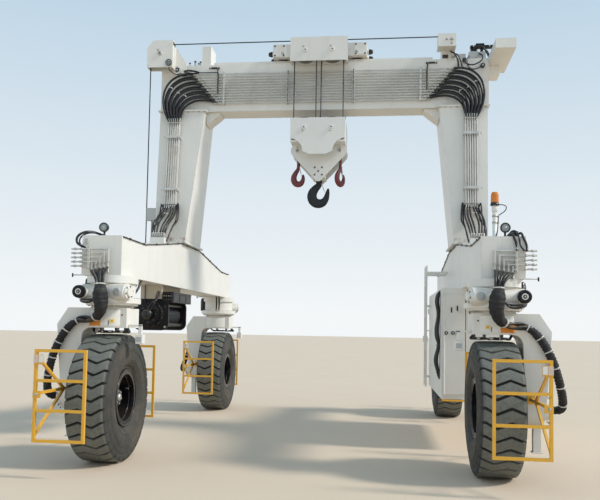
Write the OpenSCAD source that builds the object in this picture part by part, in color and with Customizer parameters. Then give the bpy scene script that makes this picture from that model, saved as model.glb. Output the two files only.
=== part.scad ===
// Straddle carrier: a portal on four steered wheels, with a trolley, a hook block and three hooks.
// Millimetres. +X is across the machine, +Y along its travel, +Z up. The origin is on the ground
// under the portal's middle. Left is -X, and the front, which carries the pipework, is -Y.

/* [Layout] */
// Distance between the tyre centres across the machine
track = 4820; // [4700:10:5000]
// Distance between the axles along the travel
wheelbase = 6000; // [5900:10:6200]
// Underside of the crossbeam above the ground
portal_h = 5400; // [5400:10:5700]

/* [Wheels] */
// Outer diameter of a tyre, over its lugs
tyre_d = 1620; // [1580:10:1630]
// Section width of a tyre
tyre_w = 540; // [500:10:560]
// Lugs around a tyre
lug_count = 32; // [28:1:34]
// Depth of the grooves between the lugs
groove_depth = 38; // [20:1:45]
// Width of a groove at the lugs' tops
groove_w = 35; // [25:1:45]
// Diameter of the rim's bead seat
rim_d = 635; // [620:5:650]
// Outer diameter of the rim's flanges
flange_d = 724; // [700:2:760]
// Rim width between the flanges
rim_w = 400; // [380:5:420]
// Diameter of the wheel's axle pin
axle_d = 140; // [120:2:160]

/* [Wheel arms] */
// Inner face of the arm's upright, out from the wheel's middle
arm_in = 305; // [300:1:320]
// Outer face of the arm's upright at its shoulder
arm_out = 630; // [600:5:640]
// Width of the arm along the travel at its top
arm_w = 450; // [420:5:460]
// Width of the arm along the travel at the hub
arm_foot_w = 360; // [330:5:380]
// Underside of the arm over the tyre
arm_soffit = 1700; // [1690:5:1720]
// Top of the arm's horizontal part
arm_top = 1950; // [1930:5:1955]

/* [Steering] */
// Underside of the slewing ring
slew_z = 2010; // [2010:1:2030]
// Outer diameter of the slewing ring
slew_d = 720; // [680:10:760]
// Diameter of the spigot that centres the arm in the ring
spigot_d = 360; // [300:10:400]

/* [Guards] */
// Side of the guard's square tube
guard_tube = 33; // [28:1:40]
// Guard's inner edge, in from the wheel's middle
guard_in = 200; // [180:5:220]
// Guard's outer edge, out from the wheel's middle
guard_out = 410; // [400:5:430]
// Guard's distance from the axle
guard_reach = 1200; // [1180:5:1220]
// Underside of the guard
guard_low = 410; // [390:5:430]
// Top of the guard
guard_top = 1450; // [1420:5:1480]

/* [Side beams] */
// Inner face of a side beam from the machine's middle
beam_in = 2220; // [2200:5:2240]
// Width of a side beam
beam_w = 520; // [500:5:530]
// Length of a side beam
beam_len = 6460; // [6400:10:6500]
// Underside of a side beam
beam_z = 2360; // [2350:5:2370]
// Depth of a side beam at its ends
beam_end_h = 510; // [480:5:530]
// Depth of a side beam under its leg
beam_mid_h = 740; // [700:5:760]

/* [Portal] */
// Depth of the crossbeam
cross_h = 812; // [780:4:840]
// Width of the crossbeam along the travel
cross_w = 410; // [390:5:430]
// Half length of the crossbeam
cross_half = 2757; // [2740:1:2770]
// Width of a leg's foot along the travel
leg_foot_w = 1000; // [960:10:1040]
// Width of a leg's head along the travel
leg_head_w = 620; // [600:10:660]
// Inner edge of a leg's head from the machine's middle
leg_head_in = 1950; // [1930:5:1980]
// Thickness of the bolted plates at a leg's ends
leg_plate = 25; // [20:1:30]

/* [Pipes and hoses] */
// Diameter of a steel pipe
pipe_d = 22; // [18:1:24]
// Number of pipes along the crossbeam
pipe_count = 12; // [10:2:12]
// Spacing of the pipes along the crossbeam
pipe_pitch = 46; // [42:1:48]
// Diameter of a hose
hose_d = 30; // [24:1:31]
// Spacing of the pipes on a leg
leg_pipe_pitch = 36; // [34:1:38]
// Diameter of the sheathed hose that runs down an arm
arm_hose_d = 100; // [80:2:104]

/* [Hoist] */
// Where the trolley is parked, from the machine's middle
trolley_x = -20; // [-60:5:60]
// Pitch diameter of a rope sheave
sheave_d = 350; // [330:5:360]
// Distance between two sheave pins
sheave_gap = 450; // [440:5:470]
// Rope diameter
rope_d = 18; // [14:1:20]
// Distance of the rope's plane from the portal's middle plane
rope_y = 360; // [350:5:370]
// Height of the trolley's sheave pins above the crossbeam
trolley_pin_h = 123; // [115:1:130]
// Length of the rope falls with the hook block parked, from pin to pin
fall = 1298; // [1280:1:1340]
// Width of the hook block's outer plates
block_w = 900; // [880:5:920]
// Radius of the V plates' round shoulders
shoulder_r = 112; // [100:1:116]

/* [Machinery] */
// Inner face of the power pack from the machine's middle
pack_in = 1930; // [1920:5:1950]
// Width of the power pack across the machine
pack_w = 850; // [800:5:880]
// Length of the power pack
pack_len = 2700; // [2600:10:2800]
// Underside of the power pack
pack_z = 750; // [700:10:800]
// Length of the engine
engine_len = 1200; // [1000:10:1250]
// Height of the engine
engine_h = 720; // [600:10:720]
// Thickness of the power pack's walls
pack_wall = 30; // [20:1:40]
// Diameter of the winch's end plates
winch_d = 520; // [480:5:560]
// Length of the winch between its end plates
winch_len = 940; // [900:10:980]

/* [Hidden] */
$fn = 64;
// Running gap between faces that move on each other, and the seat of a piece that only rests
seat = 0.3;

// Corners: name, side (-1 left, 1 right), end (-1 front, 1 rear)
CORNERS = [["fl", -1, -1], ["fr", 1, -1], ["rl", -1, 1], ["rr", 1, 1]];
SIDES = [["left", -1], ["right", 1]];

white = "#e4e2da";
black = "#1b1c1e";
yellow = "#e2a01c";
steel = "#b9bcbd";
grey = "#8d9192";

axle_z = tyre_d/2;
beam_mid = beam_in + beam_w/2;
beam_top = beam_z + beam_end_h;
hump_top = beam_z + beam_mid_h;
cross_top = portal_h + cross_h;
cross_face = cross_w/2;
leg_foot_z = hump_top + leg_plate;
leg_head_z = portal_h - leg_plate;

// Points of an arc, from angle a0 to a1 in n steps
function arc(c, r, a0, a1, n) = [for (i = [0:n]) let (a = a0 + (a1 - a0)*i/n) c + r*[cos(a), sin(a)]];
function unit(v) = v/norm(v);
function bezier(p, t) = p[0]*pow(1 - t, 3) + p[1]*3*t*pow(1 - t, 2) + p[2]*3*t*t*(1 - t) + p[3]*pow(t, 3);
function bezier_path(p, n) = [for (i = [0:n]) bezier(p, i/n)];
function heading(path, i) = unit(path[min(i + 1, len(path) - 1)] - path[max(i - 1, 0)]);

// A closed tube along a path. radii is one number or one per point, flat squeezes it along ref.
module sweep(path, radii, ref = [0, 1, 0], sides = 8, flat = 1) {
    last = len(path) - 1;
    rings = [for (i = [0:last])
        let (d = heading(path, i), u = unit(cross(ref, d)), v = cross(d, u),
             r = is_list(radii) ? radii[i] : radii)
        for (k = [0:sides - 1])
            path[i] + r*(u*cos(360*(k + 0.5)/sides) + v*flat*sin(360*(k + 0.5)/sides))];
    faces = concat(
        [[for (k = [0:sides - 1]) k]],
        [[for (k = [sides - 1:-1:0]) last*sides + k]],
        [for (i = [0:last - 1]) for (k = [0:sides - 1]) let (n = (k + 1)%sides)
            [i*sides + k, (i + 1)*sides + k, (i + 1)*sides + n, i*sides + n]]);
    polyhedron(rings, faces, convexity = 6);
}

module box(low, high) { translate(low) cube(high - low); }
module rod_x(x0, x1, y, z, r) { translate([x0, y, z]) rotate([0, 90, 0]) cylinder(h = x1 - x0, r = r); }
module rod_y(x, y0, y1, z, r) { translate([x, y0, z]) rotate([-90, 0, 0]) cylinder(h = y1 - y0, r = r); }
module rod_z(x, y, z0, z1, r) { translate([x, y, z0]) cylinder(h = z1 - z0, r = r); }
// Extrusions of a profile drawn in X and Z along Y, and of one drawn in Y and Z along X
module along_y(y0, y1) { translate([0, y1, 0]) rotate([90, 0, 0]) linear_extrude(y1 - y0) children(); }
module along_x(x0, x1) {
    translate([x0, 0, 0]) rotate([90, 0, 90]) linear_extrude(x1 - x0) children();
}
module both_sides() { children(); mirror([1, 0, 0]) children(); }
module both_ends() { children(); mirror([0, 1, 0]) children(); }

// A corner's own axes: +x is outboard, -y is towards that end of the machine, and the swivel axis
// stands at its origin
module at_corner(c) {
    translate([c[1]*track/2, c[2]*wheelbase/2, 0])
        mirror([c[1] < 0 ? 1 : 0, 0, 0]) mirror([0, c[2] > 0 ? 1 : 0, 0]) children();
}
module at_corners() { for (c = CORNERS) at_corner(c) children(); }

// Wheels

// The tyre repeats by pitches, each with one groove and one lug
lug_pitch = 360/lug_count;
tread_half = tyre_w/2 - 62;
shoulder_drop = 7;
shoulder_out = 16;
bead_half = rim_w/2 - seat;
belly_r = 570;
// Run of the grooves: place across the tread from -1 to 1, and shift along the tread
zigzag = [[-1, -36], [-0.42, 32], [0.35, -36], [1, 18]];
function tread_angle(along) = along/axle_z*180/PI;
// Radius of a polygon's corners, for flats that clear a circle
function corner_r(r) = r/cos(lug_pitch/2);

// One side of the tyre, from its bead to its upper wall: [distance from the middle plane, radius]
tyre_side = [[bead_half, corner_r(rim_d/2 + seat)], [bead_half, corner_r(flange_d/2 + 4)],
    [tyre_w/2 - 24, 440], [tyre_w/2, belly_r], [tyre_w/2 - 18, 715]];

// Points of one pitch: up one side, at each bend of the groove its bottom and the lug's two edges, and
// down the other side
function pitch_points(p) =
    let (start = p*lug_pitch - tread_angle(groove_w/2 + zigzag[1][1]), last = len(zigzag) - 1,
         at = function(r, a, x) [r*cos(a), r*sin(a), x])
    concat(
        [for (s = tyre_side) at(s[1], start, -s[0])],
        [for (j = [0:last])
            let (end = j == 0 ? -1 : j == last ? 1 : 0, a = start + tread_angle(zigzag[j][1]),
                 x = zigzag[j][0]*tread_half, top = axle_z - shoulder_drop*abs(end))
            each [at(axle_z - groove_depth, a, x + shoulder_out*end), at(top, a + tread_angle(groove_w/2), x),
                  at(top, a + lug_pitch - tread_angle(groove_w/2), x)]],
        [for (i = [len(tyre_side) - 1:-1:0]) at(tyre_side[i][1], start, tyre_side[i][0])]);

function pitch_faces(p) =
    let (sides = len(tyre_side), bends = len(zigzag), per = 2*sides + 3*bends, last = sides + 3*(bends - 1),
         rings = concat([for (i = [0:sides]) i], [last], [for (i = [last + 3:per - 1]) i]),
         here = p*per, next = (p + 1)%lug_count*per)
    concat(
        [for (i = [0:len(rings) - 1]) if (i != sides) let (a = rings[i], b = rings[(i + 1)%len(rings)])
            [here + a, here + b, next + b, next + a]],
        [for (j = [sides:3:last - 3]) each [
            [here + j, here + j + 3, here + j + 4, here + j + 1],
            [here + j + 1, here + j + 4, here + j + 5, here + j + 2],
            [here + j + 2, here + j + 5, next + j + 3, next + j]]],
        [[here + sides, here + sides + 1, here + sides + 2, next + sides],
         [here + last + 1, here + last, next + last, here + last + 2]]);

module tyre() {
    color("#3c3f3d") translate([0, 0, axle_z]) rotate([0, 90, 0])
        polyhedron([for (p = [0:lug_count - 1]) each pitch_points(p)],
                   [for (p = [0:lug_count - 1]) each pitch_faces(p)], convexity = 8);
}
hub_end = 235;
module rim() {
    lip = 22;
    barrel = 20;
    color(black) translate([0, 0, axle_z]) rotate([0, 90, 0]) difference() {
        union() {
            rotate_extrude($fn = 96) polygon([
                [rim_d/2 - barrel, -rim_w/2 - lip], [flange_d/2, -rim_w/2 - lip], [flange_d/2, -rim_w/2],
                [rim_d/2, -rim_w/2], [rim_d/2, rim_w/2], [flange_d/2, rim_w/2],
                [flange_d/2, rim_w/2 + lip], [rim_d/2 - barrel, rim_w/2 + lip]]);
            translate([0, 0, 60]) cylinder(h = 30, r = rim_d/2 - barrel/2);
            translate([0, 0, -60]) cylinder(h = hub_end + 60, r = 170);
            translate([0, 0, -125]) cylinder(h = 70, r = 105);
        }
        translate([0, 0, -80]) cylinder(h = hub_end + 81, r = axle_d/2 + seat);
    }
}

// Wheel arms

hub_face = arm_in + 40;
motor_end = 660;
pad_y = 210;
pad_z = 950;

module arm_front() {
    foot_in = arm_in + 35;
    foot_out = arm_out - 65;
    fillet = 120;
    polygon(concat(
        [[-280, arm_soffit], [-280, arm_top], [arm_out - 140, arm_top], [arm_out, arm_top - 210],
         [foot_out, 700]],
        arc([foot_out - 80, 700], 80, 0, -90, 5),
        [[foot_in, 620]],
        arc([arm_in - fillet, arm_soffit - fillet], fillet, 0, 90, 6)));
}

module arm_side() {
    polygon(concat(
        [[-arm_w/2, arm_top], [arm_w/2, arm_top], [arm_w/2, arm_soffit]],
        arc([0, axle_z], arm_foot_w/2, 0, -180, 16),
        [[-arm_w/2, arm_soffit]]));
}

module arm() {
    turret_top = slew_z - seat;
    color(white) {
        intersection() {
            along_y(-arm_w/2 - 1, arm_w/2 + 1) arm_front();
            along_x(-300, arm_out + 10) arm_side();
        }
        translate([0, 0, arm_soffit]) rotate_extrude() polygon([
            [0, 0], [290, 0], [300, 30], [300, arm_top - arm_soffit - 30],
            [250, turret_top - arm_soffit - 30], [325, turret_top - arm_soffit - 25],
            [325, turret_top - arm_soffit], [0, turret_top - arm_soffit]]);
        rod_z(0, 0, arm_top, slew_z + 60, spigot_d/2);
        rod_x(-75, hub_face, 0, axle_z, axle_d/2);
        rod_x(hub_end + seat, hub_face, 0, axle_z, 150);
        rod_x(arm_out - 100, motor_end, 0, axle_z, 120);
        box([guard_out - 75, -pad_y, pad_z - 60], [guard_out + 25, pad_y, pad_z + 60]);
        box([455, -40, 300], [545, 40, 660]);
        box([440, -60, 300], [560, 60, 312]);
    }
}

// Guards, ahead of and behind each tyre, held on the arm's upright

module guard_brace(from, to) {
    w = guard_tube - 5;
    run = to - from;
    translate(from) rotate([atan2(run[2], run[1]), 0, 0]) translate([-w/2, 0, -w/2]) cube([w, norm(run), w]);
}

module guard_panel() {
    t = guard_tube;
    front = -guard_reach - t/2;
    for (x = [-guard_in, guard_out - t])
        box([x, front, guard_low], [x + t, front + t, guard_top]);
    rows = 3;
    for (i = [0:rows]) {
        z = guard_low + (guard_top - guard_low - t)*i/rows;
        box([-guard_in, front, z], [guard_out, front + t, z + t]);
    }
    x = guard_out - t/2;
    knee = [x, -480, pad_z];
    box([x - t/2, -guard_reach, pad_z - t/2], [x + t/2, -pad_y, pad_z + t/2]);
    box([x - 45, -pad_y - 15, pad_z - 55], [x + 45, -pad_y, pad_z + 55]);
    guard_brace([x, -guard_reach, guard_top - 70], knee);
    guard_brace([x, -guard_reach, guard_low + 70], knee);
    box([guard_out - 110, front - 8, guard_top - 170], [guard_out, front + 1, guard_top - 60]);
}
module guard() { color(yellow) both_ends() guard_panel(); }

// The sheathed hose down each arm: it leaves the split under the ring, lies along the arm's front
// and loops out to the hub's motor
split = [-42, -(beam_len - wheelbase)/2 - 250, 2000];
split_r = 84;
arm_hose_route = [split, split - [0, 0, 12], [-40, -474, 1955], [-22, -445, 1908], [15, -405, 1862],
    [70, -363, 1828], [145, -330, 1808], [225, -303, 1804], [300, -292, 1800], [400, -290, 1745],
    [490, -288, 1650], [565, -284, 1530], [635, -276, 1380], [690, -250, 1220], [735, -210, 1070],
    [768, -150, 940], [780, -85, 860], [765, -30, 820], [735, 0, 810], [motor_end, 0, 810]];
arm_hose_swell = [split_r, split_r, 82, 76, 66, 56, 52];
module arm_hose() {
    swollen = len(arm_hose_swell);
    radii = [for (i = [0:len(arm_hose_route) - 1]) i < swollen ? arm_hose_swell[i] : arm_hose_d/2];
    color(black) sweep(arm_hose_route, radii, ref = [0.35, 0.94, 0.2]);
}

// Frame

// The beam's top is flat under the leg and slopes down to either side
hump_flat = 600;
hump_end = beam_len/2 - 900;
function beam_top_at(y) = hump_top - (abs(y) - hump_flat)*(hump_top - beam_top)/(hump_end - hump_flat);

module side_beam() {
    h = beam_len/2;
    color(white) {
        along_x(beam_in, beam_in + beam_w) polygon([
            [-h, beam_z], [h, beam_z], [h, beam_top], [hump_end, beam_top], [hump_flat, hump_top],
            [-hump_flat, hump_top], [-hump_end, beam_top], [-h, beam_top]]);
        box([beam_mid - 115, -bulkhead_y - 60, beam_top], [beam_mid + 115, -bulkhead_y + 60, bulkhead_z]);
    }
}
// The block on the beam that the leg's hoses come down to
bulkhead_y = 1000;
bulkhead_z = hump_top + 30;

module leg() {
    half_foot = leg_foot_w/2;
    half_head = leg_head_w/2;
    foot_out = beam_in + beam_w - 30;
    foot_in = beam_in - 30;
    head_out = foot_out + 15;
    color(white) {
        intersection() {
            along_y(-half_foot - 1, half_foot + 1) polygon([
                [foot_in, leg_foot_z], [foot_out, leg_foot_z], [head_out, leg_head_z],
                [leg_head_in, leg_head_z]]);
            along_x(leg_head_in - 1, head_out + 1) polygon([
                [-half_foot, leg_foot_z], [half_foot, leg_foot_z], [half_head, leg_head_z],
                [-half_head, leg_head_z]]);
        }
        box([foot_in - 40, -half_foot - 50, hump_top], [beam_in + beam_w, half_foot + 50, leg_foot_z]);
        box([leg_head_in - 30, -half_head - 30, leg_head_z], [cross_half, half_head + 30, portal_h]);
        along_y(-150, 150) polygon([
            [leg_head_in + 10, leg_head_z - 190], [leg_head_in + 10, portal_h], [leg_head_in - 230, portal_h],
            [leg_head_in - 230, leg_head_z]]);
    }
}

rail_h = 50;
module crossbeam() {
    rail_end = 1850;
    color(white) {
        box([-cross_half, -cross_face, portal_h], [cross_half, cross_face, cross_top]);
        both_ends() box([-rail_end, -170, cross_top], [rail_end, -130, cross_top + rail_h]);
    }
}

// Slewing ring under each end of the side beams: its worm lies across the front, turned a little so that
// its inboard end cap faces forwards, and the motor points forwards at the outboard end
worm_r = 108;
worm_half = 330;
worm_y = -235;
worm_turn = 15;
slew_motor_x = 290;
slew_motor_r = 85;
module slew_drive() {
    housing_top = slew_z + 255;
    housing_r = slew_d/2 - 70;
    worm_z = slew_z + worm_r + 27;
    difference() {
        union() {
            rod_z(0, 0, slew_z, slew_z + 65, slew_d/2);
            rod_z(0, 0, slew_z + 65, beam_z, housing_r);
            rod_z(0, 0, housing_top, beam_z, housing_r + 30);
            translate([0, worm_y, worm_z]) rotate([0, 0, worm_turn]) {
                rod_x(-worm_half, worm_half, 0, 0, worm_r);
                rod_x(-worm_half - 25, -worm_half, 0, 0, worm_r - 18);
                rod_x(-worm_half - 45, -worm_half - 25, 0, 0, worm_r/2);
            }
            rod_y(slew_motor_x, -345, -60, worm_z, slew_motor_r);
            rod_y(slew_motor_x, -400, -345, worm_z, slew_motor_r - 27);
        }
        rod_z(0, 0, slew_z - 1, slew_z + 60 + 5, spigot_d/2 + seat);
    }
}
module slew_drives() { color(white) at_corners() slew_drive(); }

// Pipework

pipe_y = -cross_face - 42;
pipe_top_z = cross_top - 175;
clamp_x = [-1650, -550, 550, 1650];
function pipe_z(i) = pipe_top_z - pipe_pitch*i;
// The pipes end on a slant, so that their hoses fan out
pipe_end_step = 39;
function pipe_end(i) = cross_half - 597 - pipe_end_step*i;

module beam_pipes() {
    color(steel) {
        for (i = [0:pipe_count - 1])
            rod_x(-pipe_end(i), pipe_end(i), pipe_y, pipe_z(i), pipe_d/2, $fn = 24);
        for (x = clamp_x)
            box([x - 15, pipe_y - 20, pipe_z(pipe_count - 1) - 30], [x + 15, -cross_face, pipe_z(0) + 30]);
    }
}

// The leg's front face leans back by this angle from the foot to the head
leg_lean = atan2((leg_foot_w - leg_head_w)/2, leg_head_z - leg_foot_z);
function leg_face_y(z) = -leg_head_w/2 - (leg_head_z - z)*tan(leg_lean);
leg_pipe_top = leg_head_z - 225;
leg_pipe_low = leg_foot_z + 635;
leg_pipe_mid = beam_mid - 30;
leg_pipe_count = pipe_count/2;
leg_layers = [40, 84];
leg_clamps = [leg_pipe_top - 250, leg_pipe_low + 240];
function leg_pipe_x(k) = leg_pipe_mid + leg_pipe_pitch*((leg_pipe_count - 1)/2 - k);
// Position on the line of a leg pipe: k counts inwards, layer picks the standoff
function leg_pipe_at(k, layer, z) = [leg_pipe_x(k), leg_face_y(z) - leg_layers[layer]/cos(leg_lean), z];
leg_run = [0, -sin(leg_lean), -cos(leg_lean)];

module leg_pipe_bundle() {
    length = (leg_pipe_top - leg_pipe_low)/cos(leg_lean);
    for (layer = [0, 1]) for (k = [0:leg_pipe_count - 1])
        translate(leg_pipe_at(k, layer, leg_pipe_top)) rotate([180 - leg_lean, 0, 0])
            cylinder(h = length, r = pipe_d/2 - 1, $fn = 24);
    half = leg_pipe_pitch*(leg_pipe_count - 1)/2 + 30;
    for (z = leg_clamps)
        translate([leg_pipe_mid, leg_face_y(z), z]) rotate([-leg_lean, 0, 0])
            translate([-half, -leg_layers[1] - 18, -20]) cube([half*2, leg_layers[1] + 18, 40]);
}
module leg_pipes() { color(steel) both_sides() leg_pipe_bundle(); }

// Hoses that arch from the crossbeam's pipes over to the leg's pipes. Hose i comes from pipe i. Their
// handles go evenly from the outermost hose to the innermost, and by turns they lie out and in.
hose_count = 2*leg_pipe_count;
function between(ends, i) = ends[0] + (ends[1] - ends[0])*i/(hose_count - 1);
module corner_hose(i) {
    k = floor(i/2);
    layer = 1 - i%2;
    from = [pipe_end(i), pipe_y, pipe_z(i)];
    to = leg_pipe_at(k, layer, leg_pipe_top);
    lead = 25;
    leaving = [between([430, 330], i), -30 - 80*layer, between([25, 120], i)];
    landing = [between([258, 22], i), -8, between([430, 340], i)];
    start = from + [lead, 0, 0];
    end = to - leg_run*lead;
    arch = bezier_path([start, start + leaving, end + landing, end], 8);
    sweep(concat([from], arch, [to]), hose_d/2, sides = 6);
}
module corner_hoses() { color(black) both_sides() for (i = [0:hose_count - 1]) corner_hose(i); }

// Hoses from the leg's pipes down to the bulkhead on the side beam
module leg_hose(k) {
    from = leg_pipe_at(k, 1, leg_pipe_low);
    to = [beam_mid + leg_pipe_pitch*((leg_pipe_count - 1)/2 - k), -bulkhead_y, bulkhead_z];
    path = bezier_path([from + leg_run*25, from + leg_run*330, to + [0, 40, 420], to + [0, 0, 25]], 6);
    sweep(concat([from], path, [to]), hose_d/2, ref = [1, 0, 0], sides = 6);
}
module leg_hoses() { color(black) both_sides() for (k = [0:leg_pipe_count - 1]) leg_hose(k); }

// Short pipes across each beam end, with elbows down, and the hoses below them in their sheath
end_pipe_count = 5;
end_pipe_pitch = 54;
end_pipe_out = 450;
end_hose_r = 15;
beam_face_y = -(beam_len - wheelbase)/2;
end_pipe_y = beam_face_y - 45;
function end_pipe_z(i) = beam_top - 180 - end_pipe_pitch*i;
function end_pipe_x(i) = -36 + 53*i;
function elbow_low(i) = end_pipe_z(i) - 220 + 45*i;

module end_pipe_rack() {
    for (i = [0:end_pipe_count - 1]) {
        rod_x(end_pipe_x(i), end_pipe_out, end_pipe_y, end_pipe_z(i), pipe_d/2, $fn = 24);
        rod_z(end_pipe_x(i), end_pipe_y, elbow_low(i), end_pipe_z(i) + 12, 14, $fn = 24);
    }
    box([200, end_pipe_y - 25, end_pipe_z(end_pipe_count - 1) - 35], [230, beam_face_y, end_pipe_z(0) + 35]);
}
module end_pipes() { color(steel) at_corners() end_pipe_rack(); }

// The hoses go into the sheath side by side in two rows
sheath_top = [-18, beam_face_y - 232, 2235];
module end_hose(i) {
    from = [end_pipe_x(i), end_pipe_y, elbow_low(i)];
    to = sheath_top + [(i - 2)*20, (i%2)*32 - 16, seat];
    drop = from[2] - to[2];
    path = bezier_path([from - [0, 0, 10], from - [0, 90, drop*0.15],
                        to + [0, 0, drop*0.6], to + [0, 0, 10]], 6);
    sweep(concat([from], path, [to]), end_hose_r, sides = 6);
}
module end_sheath() {
    drop = sheath_top[2] - split[2] - seat;
    // Each [x, y, share of the drop, radius]
    end = split - sheath_top;
    stations = [[0, 0, 0, 62], [0, 0, 0.08, 66], [-12, -16, 0.28, 84], [-20, -28, 0.48, 93],
                [end[0], end[1] - 6, 0.68, 92], [end[0], end[1], 0.88, split_r + 3],
                [end[0], end[1], 1, split_r]];
    sweep([for (s = stations) sheath_top + [s[0], s[1], -s[2]*drop]], [for (s = stations) s[3]],
          ref = [0.98, 0.2, 0]);
}
module end_hoses() {
    color(black) at_corners() {
        end_sheath();
        for (i = [0:end_pipe_count - 1]) end_hose(i);
    }
}

// Rope work on the portal

trolley_pin_z = cross_top + trolley_pin_h;
sheave_r = sheave_d/2;
rope_clear = 5;
rope_top_z = trolley_pin_z + sheave_r + rope_d/2 + rope_clear;
top_pin_x = -(cross_half - 37);
top_pin_z = rope_top_z - sheave_r - rope_d/2 - seat;
rope_drop_x = top_pin_x - sheave_r - rope_d/2 - seat;
housing_y = [-rope_y - 95, -rope_y + 95];
anchor_x = cross_half - 837;
stop_x = -(cross_half - 707);

// A grooved sheave about an axis along Y
module sheave(x, y, z, bore_r) {
    rim_r = sheave_r + 18;
    translate([x, y, z]) rotate([90, 0, 0]) difference() {
        rotate_extrude() polygon([
            [0, -30], [rim_r, -30], [rim_r, -22], [sheave_r, -rope_d/2], [sheave_r, rope_d/2],
            [rim_r, 22], [rim_r, 30], [0, 30]]);
        translate([0, 0, -31]) cylinder(h = 62, r = bore_r + seat);
    }
}

top_pin_r = 40;
module sheave_housing() {
    left = rope_drop_x - 35;
    right = left + 440;
    low = cross_top - 110;
    high = rope_top_z + 45;
    wall = 16;
    mouth = 60;
    color(white) {
        difference() {
            along_y(housing_y[0], housing_y[1]) polygon([
                [left, low], [left, high - 120], [left + 115, high], [right, high], [right, low]]);
            along_y(housing_y[0] + wall, housing_y[1] - wall) polygon([
                [left + wall, low - 1], [left + wall, high - 125], [left + 122, high - wall],
                [right + 1, high - wall], [right + 1, high - wall - mouth],
                [right - wall, high - wall - mouth], [right - wall, low - 1]]);
        }
        rod_y(top_pin_x, housing_y[0] - 12, housing_y[1], top_pin_z, top_pin_r);
        box([left + 190, housing_y[1] - 1, low], [right, -cross_face, high - 60]);
        along_y(housing_y[1], housing_y[1] + wall) polygon([
            [right - 1, low], [right + 190, cross_top - 100], [right + 190, cross_top + 20],
            [right - 1, high - 60]]);
    }
}
module top_sheave() { color(grey) sheave(top_pin_x, -rope_y, top_pin_z, top_pin_r); }

// Trolley stop at the left and the rope's anchor at the right
module rope_stops() {
    color(white) {
        box([stop_x, -200, cross_top], [stop_x + 150, 150, cross_top + 330]);
        box([anchor_x + 80, -cross_face, cross_top], [anchor_x + 290, 150, rope_top_z + 30]);
        box([anchor_x, -rope_y - 60, rope_top_z - 180], [anchor_x + 290, -cross_face + 30, rope_top_z + 30]);
    }
}

winch_x = -2470;
winch_z = 1905;
winch_y0 = -1250;
winch_y1 = winch_y0 + winch_len;
drum_r = 185;
guide_z = 2450;
module hoist_rope() {
    // The path's chords dip under the arc by less than this
    dip = 0.5;
    reach = sheave_r + rope_d/2 + seat + dip;
    over = [for (a = [90:7.5:180]) [top_pin_x + reach*cos(a), -rope_y, top_pin_z + reach*sin(a)]];
    drum_side = winch_x - drum_r - rope_d/2 - seat;
    color(black) sweep(concat([[anchor_x, -rope_y, rope_top_z + dip]], over,
        [[rope_drop_x, -rope_y, guide_z], [drum_side, -rope_y, winch_z]]), rope_d/2);
}

module overhang_box() {
    color(white) {
        box([cross_half, -900, cross_top - 112], [cross_half + 310, 200, cross_top + 38]);
        box([cross_half, -150, cross_top - 260], [cross_half + 180, 150, cross_top - 112]);
    }
}

post_r = 15;
module junction_boxes() {
    post_x = beam_mid + 190;
    post_y = -760;
    post_top = hump_top + 540;
    color(grey) {
        box([cross_half - 317, -180, cross_top], [cross_half - 47, 120, cross_top + 120]);
        box([cross_half - 457, 20, cross_top], [cross_half - 347, 140, cross_top + 170]);
        rod_z(-post_x, post_y, beam_top_at(post_y + post_r) + seat, post_top - 40, post_r);
        box([-post_x - 80, post_y - 50, post_top - 200], [-post_x + 75, post_y + 50, post_top]);
    }
}

light_r = 60;
module work_lights() {
    x = beam_mid + 55;
    y = -beam_len/2 + 170;
    z = beam_top + 128;
    color(grey) both_sides() {
        rod_y(x, y, y + 70, z, light_r);
        rod_z(x, y + 35, beam_top, z - 38, 12);
    }
}

module beacon() {
    x = beam_in + beam_w - 40;
    y = -1200;
    post_top = hump_top + 500;
    stand_r = 2*post_r;
    color("#e8801a") {
        rod_z(x, y, beam_top_at(y + stand_r) + seat, post_top, stand_r);
        rod_z(x, y, post_top, post_top + 40, 60);
        rod_z(x, y, post_top + 40, post_top + 170, 52);
        translate([x, y, post_top + 170]) cylinder(h = 30, r1 = 52, r2 = 30);
    }
}

// Ladder on the power pack's inner side, up to the side beam
module ladder() {
    stile_x = pack_in - 90;
    low = pack_z - 10;
    high = beam_top + 30;
    stiles = [pack_half - 350, pack_half + 30];
    color(white) {
        for (y = stiles) {
            box([stile_x, y - 20, low], [stile_x + 30, y + 20, high]);
            box([stile_x + 30, y - 20, beam_z + 380], [beam_in, y + 20, beam_z + 430]);
        }
        for (z = [low + 120:280:high]) rod_y(stile_x + 15, stiles[0], stiles[1], z, 13);
        for (z = [pack_z + 150, beam_z - 210])
            box([stile_x + 30, stiles[0] - 20, z], [pack_in, stiles[0] + 20, z + 40]);
    }
}

// Winch under the left side beam

module winch_frame() {
    r = winch_d/2;
    corner = 110;
    half = r + 20;
    plate = 30;
    color(black) {
        for (y = [winch_y0 - plate, winch_y1]) {
            along_y(y, y + plate) polygon([
                for (q = [[1, 1, 0], [-1, 1, 90], [-1, -1, 180], [1, -1, 270]])
                    each arc([winch_x + q[0]*(half - corner), winch_z + q[1]*(r - 20 - corner)],
                             corner, q[2], q[2] + 90, 6)]);
            box([winch_x - 170, y, winch_z + r - 21], [winch_x + 170, y + plate, beam_z]);
        }
        rod_y(winch_x, winch_y0 - plate - 130, winch_y0 - plate, winch_z, 150);
        rod_y(winch_x, winch_y0 - plate - 210, winch_y0 - plate - 130, winch_z, 75);
        for (s = [-1, 1]) rod_y(winch_x + half - 80, winch_y0, winch_y1, winch_z + s*(r - 110), 28);
        box([winch_x + 180, winch_y0 - plate, winch_z + r - 65],
            [winch_x + half + 60, winch_y1 + 75, winch_z + r + 75]);
    }
}
module winch_drum() { color(grey) rod_y(winch_x, winch_y0 + seat, winch_y1 - seat, winch_z, drum_r); }

// Power pack under the right side beam

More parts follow.
